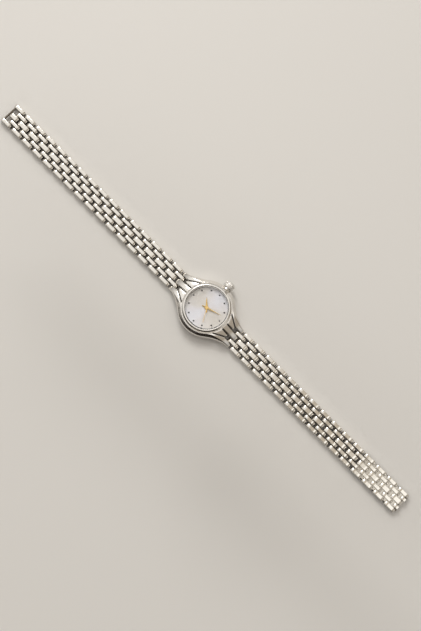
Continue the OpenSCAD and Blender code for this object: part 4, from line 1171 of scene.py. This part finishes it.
# %% Put the case together
case = bmesh.new()
for side in (-1, 1):
    side_bar(case, side)
    for end in (-1, 1):
        second_finger(case, side, end)
for end in (-1, 1):
    middle_finger(case, end)
turned(case, rounded(CORE))
turned(case, rounded(TUBE), crown_axis)
case_piece = bevelled("case_polished", closed(case), 0.0, polished_steel, CASE_ANGLE)
settle(case_piece, "case_body")
print("case:", len(case_piece.data.polygons), "faces")

# %% [markdown]
# ## Hour markers
#
# Twelve small dark dots stand on the dial, domed like polished rivets. They repeat round a circle,
# so one dome is instanced on the twelve points of a Mesh Circle.

# %% Markers
MARKER_RADIUS = 0.275 * MM
DOME_POWER = 0.6  # 1 makes half a ball, less a flatter top
dot_low, dot_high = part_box("hour_markers")


def marker_tree():
    """A tree that sets domed dots round a circle."""
    tree, given = new_tree("markers", {
        "Count": ("Int", 12), "Circle radius": ("Float", dot_high.y - MARKER_RADIUS),
        "Dot radius": ("Float", MARKER_RADIUS), "Dot height": ("Float", dot_high.z - dot_low.z),
        "Dial height": ("Float", dot_low.z), "Material": ("Material", None)})
    circle = add(tree, "GeometryNodeMeshCircle", Vertices=given["Count"],
                 Radius=given["Circle radius"])
    lifted = add(tree, "GeometryNodeTransform", Geometry=circle.outputs["Mesh"],
                 Translation=vector(tree, 0, 0, Field(tree, given["Dial height"])))
    ball = add(tree, "GeometryNodeMeshUVSphere", Segments=20, Rings=12, Radius=1.0)
    wide, high = Field(tree, given["Dot radius"]), Field(tree, given["Dot height"])
    x, y, z = point(tree)
    z = z.step("MAXIMUM", 0.0).step("POWER", DOME_POWER)
    dome = add(tree, "GeometryNodeSetPosition", Geometry=ball.outputs["Mesh"],
               Position=vector(tree, x * wide, y * wide, z * high))
    smooth = add(tree, "GeometryNodeSetShadeSmooth", Geometry=dome.outputs["Geometry"])
    placed = add(tree, "GeometryNodeInstanceOnPoints", Points=lifted.outputs["Geometry"],
                 Instance=smooth.outputs["Geometry"])
    real = add(tree, "GeometryNodeRealizeInstances", Geometry=placed.outputs["Instances"])
    dressed = add(tree, "GeometryNodeSetMaterial", Geometry=real.outputs["Geometry"],
                  Material=given["Material"])
    finish_tree(tree, dressed.outputs["Geometry"])
    return tree


markers = grow("hour_dots", marker_tree(), Material=dark_polish)
settle(markers, "hour_markers")
print("markers:", len(markers.data.polygons), "faces")

# %% [markdown]
# ## Hands
#
# The hour and minute hands are slim lozenges with a ridge along the middle. The two slopes beside
# the ridge send light different ways, so one looks bright and the other dark. They have to be
# steeper than the CAD hands' slopes for that, so each blade is built again from five short
# cross-sections, low at the edges and high on the ridge. The way it points and its length are
# measured on the CAD hand: its tip is the point that lies furthest from the axis.

# %% Hands
RIDGE, HAND_SIDE, HAND_TAIL = 0.18 * MM, 0.03 * MM, 1.6 * MM
HUB_TALL, HUB_SIDES, HUB_TAPER = 0.13 * MM, 40, 0.92
HAND_EDGE, HAND_ANGLE = 0.008 * MM, 20
HAND_SIZES = {  # width of the blade, radius of the hub
    "hour_hand": (0.90 * MM, 0.66 * MM), "minute_hand": (0.68 * MM, 0.50 * MM),
}


def hand(node, width, hub_radius):
    """A ridged blade with a round hub, pointing as the CAD hand does."""
    tip = max((v.co for v in nodes[node].data.vertices), key=lambda co: co.xy.length)
    length, floor_z = tip.xy.length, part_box(node)[0].z
    way = Vector((*tip.xy, 0)).normalized()
    side = Vector((-way.y, way.x, 0))
    sections = [  # along, half width, share of the ridge
        (-HAND_TAIL, width * 0.24, 0.6), (-0.2 * MM, width * 0.30, 0.9),
        (0.25 * MM, width * 0.5, 1.0), (length * 0.9, width * 0.09, 0.6),
        (length, width * 0.03, 0.35),
    ]
    shape = bmesh.new()
    loops = []
    for along, half, share in sections:
        ridge = HAND_SIDE + (RIDGE - HAND_SIDE) * share
        outline = [(-half, 0), (half, 0), (half, HAND_SIDE), (0, ridge), (-half, HAND_SIDE)]
        loops.append([shape.verts.new(way * along + side * s + Vector((0, 0, floor_z + h)))
                      for s, h in outline])
    bar_of(shape, loops)
    bmesh.ops.create_cone(shape, cap_ends=True, segments=HUB_SIDES, radius1=hub_radius,
                          radius2=hub_radius * HUB_TAPER, depth=HUB_TALL,
                          matrix=Matrix.Translation((0, 0, floor_z + HUB_TALL / 2)))
    piece = bevelled(node + "_ridged", closed(shape), HAND_EDGE, gold_plate, HAND_ANGLE, segments=2)
    settle(piece, node)
    return piece


for node, (width, hub_radius) in HAND_SIZES.items():
    print(hand(node, width, hub_radius).name, [round(v / MM, 2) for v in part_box(node)[1]])

# %% [markdown]
# ## Everything else keeps its CAD shape
#
# The dial, the second hand and the whole movement are already right. They only take the finishes
# that were made above.

# %% Finishes for the CAD nodes
FINISHES = {
    pearl: ["dial"],
    gold_plate: ["second_hand"],
    white_plastic: ["movement_ring"],
    rubber: ["crystal_gasket", "case_back_gasket", "crown_gasket"],
    plated_brass: ["main_plate", "train_bridge"],
    bright_brass: ["intermediate_wheel", "fourth_wheel", "third_wheel", "centre_wheel",
                   "minute_wheel", "hour_wheel"],
    board_green: ["circuit_board"],
    copper_wire: ["coil"],
    satin_steel: ["stator", "rotor", "stem", "setting_lever", "movement_screws"],
    cell_steel: ["battery"],
}
for material, names in FINISHES.items():
    for name in names:
        for material_slot in nodes[name].material_slots:
            material_slot.link = "OBJECT"
            material_slot.material = material
print(sum(len(names) for names in FINISHES.values()), "CAD nodes finished")

# %% [markdown]
# ## The floor
#
# The floor is one large plain sheet, pale and slightly warm. When the bracelet closes, it swings
# down to 55 mm below the case, and a floor right under the case would hide it. So the floor lies
# just lower than that, and what carries the watch is a second sheet of the same colour. It is solid
# only round the watch's outline, where the shadows fall, and fades out a few millimetres further.
# Lamps shine through it, or it would throw a shadow of its own on the floor.
#
# The fade is a scatter of solid and clear specks, picked by a White Noise texture, because a half
# clear surface comes out of the render's noise filter with streaks. The lower sheet also glows very
# faintly, just enough to look as bright as the upper one.

# %% Floor
FLOOR_SIZE, FLOOR_DROP = 30.0, 58 * MM
SHEET_SIZE, SHEET_DROP = 0.26, 0.02 * MM
FLOOR_COLOUR, FLOOR_ROUGHNESS, FLOOR_GLOW = (0.70, 0.68, 0.65), 0.6, 0.035
SHEET_HEAD = 9.5  # mm: radius of the round head
SHEET_BAND = (3.9, 92.0)  # mm: half the bracelet's width and half its length
SHEET_FADE = (0.8, 6.5)  # mm from the outline: where the sheet starts to fade, and where it is gone


def sheet(name, size, height, material):
    """A square sheet, lying flat."""
    shape = bmesh.new()
    bmesh.ops.create_grid(shape, x_segments=1, y_segments=1, size=size / 2,
                          matrix=Matrix.Translation((0, 0, height)))
    bevelled(name, shape, 0.0, material)


def sheet_finish():
    """The floor's colour near the watch and nothing further out."""
    made, tree, shader = finish("pale_sheet", FLOOR_COLOUR, 0.0, FLOOR_ROUGHNESS)
    place = coordinates(tree)
    axes = add(tree, "ShaderNodeSeparateXYZ", Vector=place).outputs
    x, y = (Field(tree, axes[axis]).step("ABSOLUTE") for axis in "XY")
    from_head = (x * x + y * y).step("SQRT") - SHEET_HEAD
    from_band = (x - SHEET_BAND[0]).step("MAXIMUM", y - SHEET_BAND[1])
    share = add(tree, "ShaderNodeMapRange", {"interpolation_type": "SMOOTHSTEP"},
                Value=from_head.step("MINIMUM", from_band).socket,
                From_Min=SHEET_FADE[1], From_Max=SHEET_FADE[0])
    specks = add(tree, "ShaderNodeTexWhiteNoise", Vector=place)
    solid = number(tree, "GREATER_THAN", share.outputs["Result"], specks.outputs["Value"])
    rays = add(tree, "ShaderNodeLightPath")
    seen = number(tree, "SUBTRACT", 1.0, rays.outputs["Is Shadow Ray"])
    clear = add(tree, "ShaderNodeBsdfTransparent")
    mix_shaders(tree, number(tree, "MULTIPLY", solid, seen), clear, shader)
    return made


floor_finish = finish("pale_floor", FLOOR_COLOUR, 0.0, FLOOR_ROUGHNESS,
                      Emission_Color=(*FLOOR_COLOUR, 1), Emission_Strength=FLOOR_GLOW)[0]
sheet("floor", FLOOR_SIZE, cad_bounds[0].z - FLOOR_DROP, floor_finish)
sheet("sheet", SHEET_SIZE, cad_bounds[0].z - SHEET_DROP, sheet_finish())
print("floor and sheet, mm:", round(-FLOOR_DROP / MM, 2), round(-SHEET_DROP / MM, 2))

# %% View settings
scene.view_settings.view_transform = "Standard"
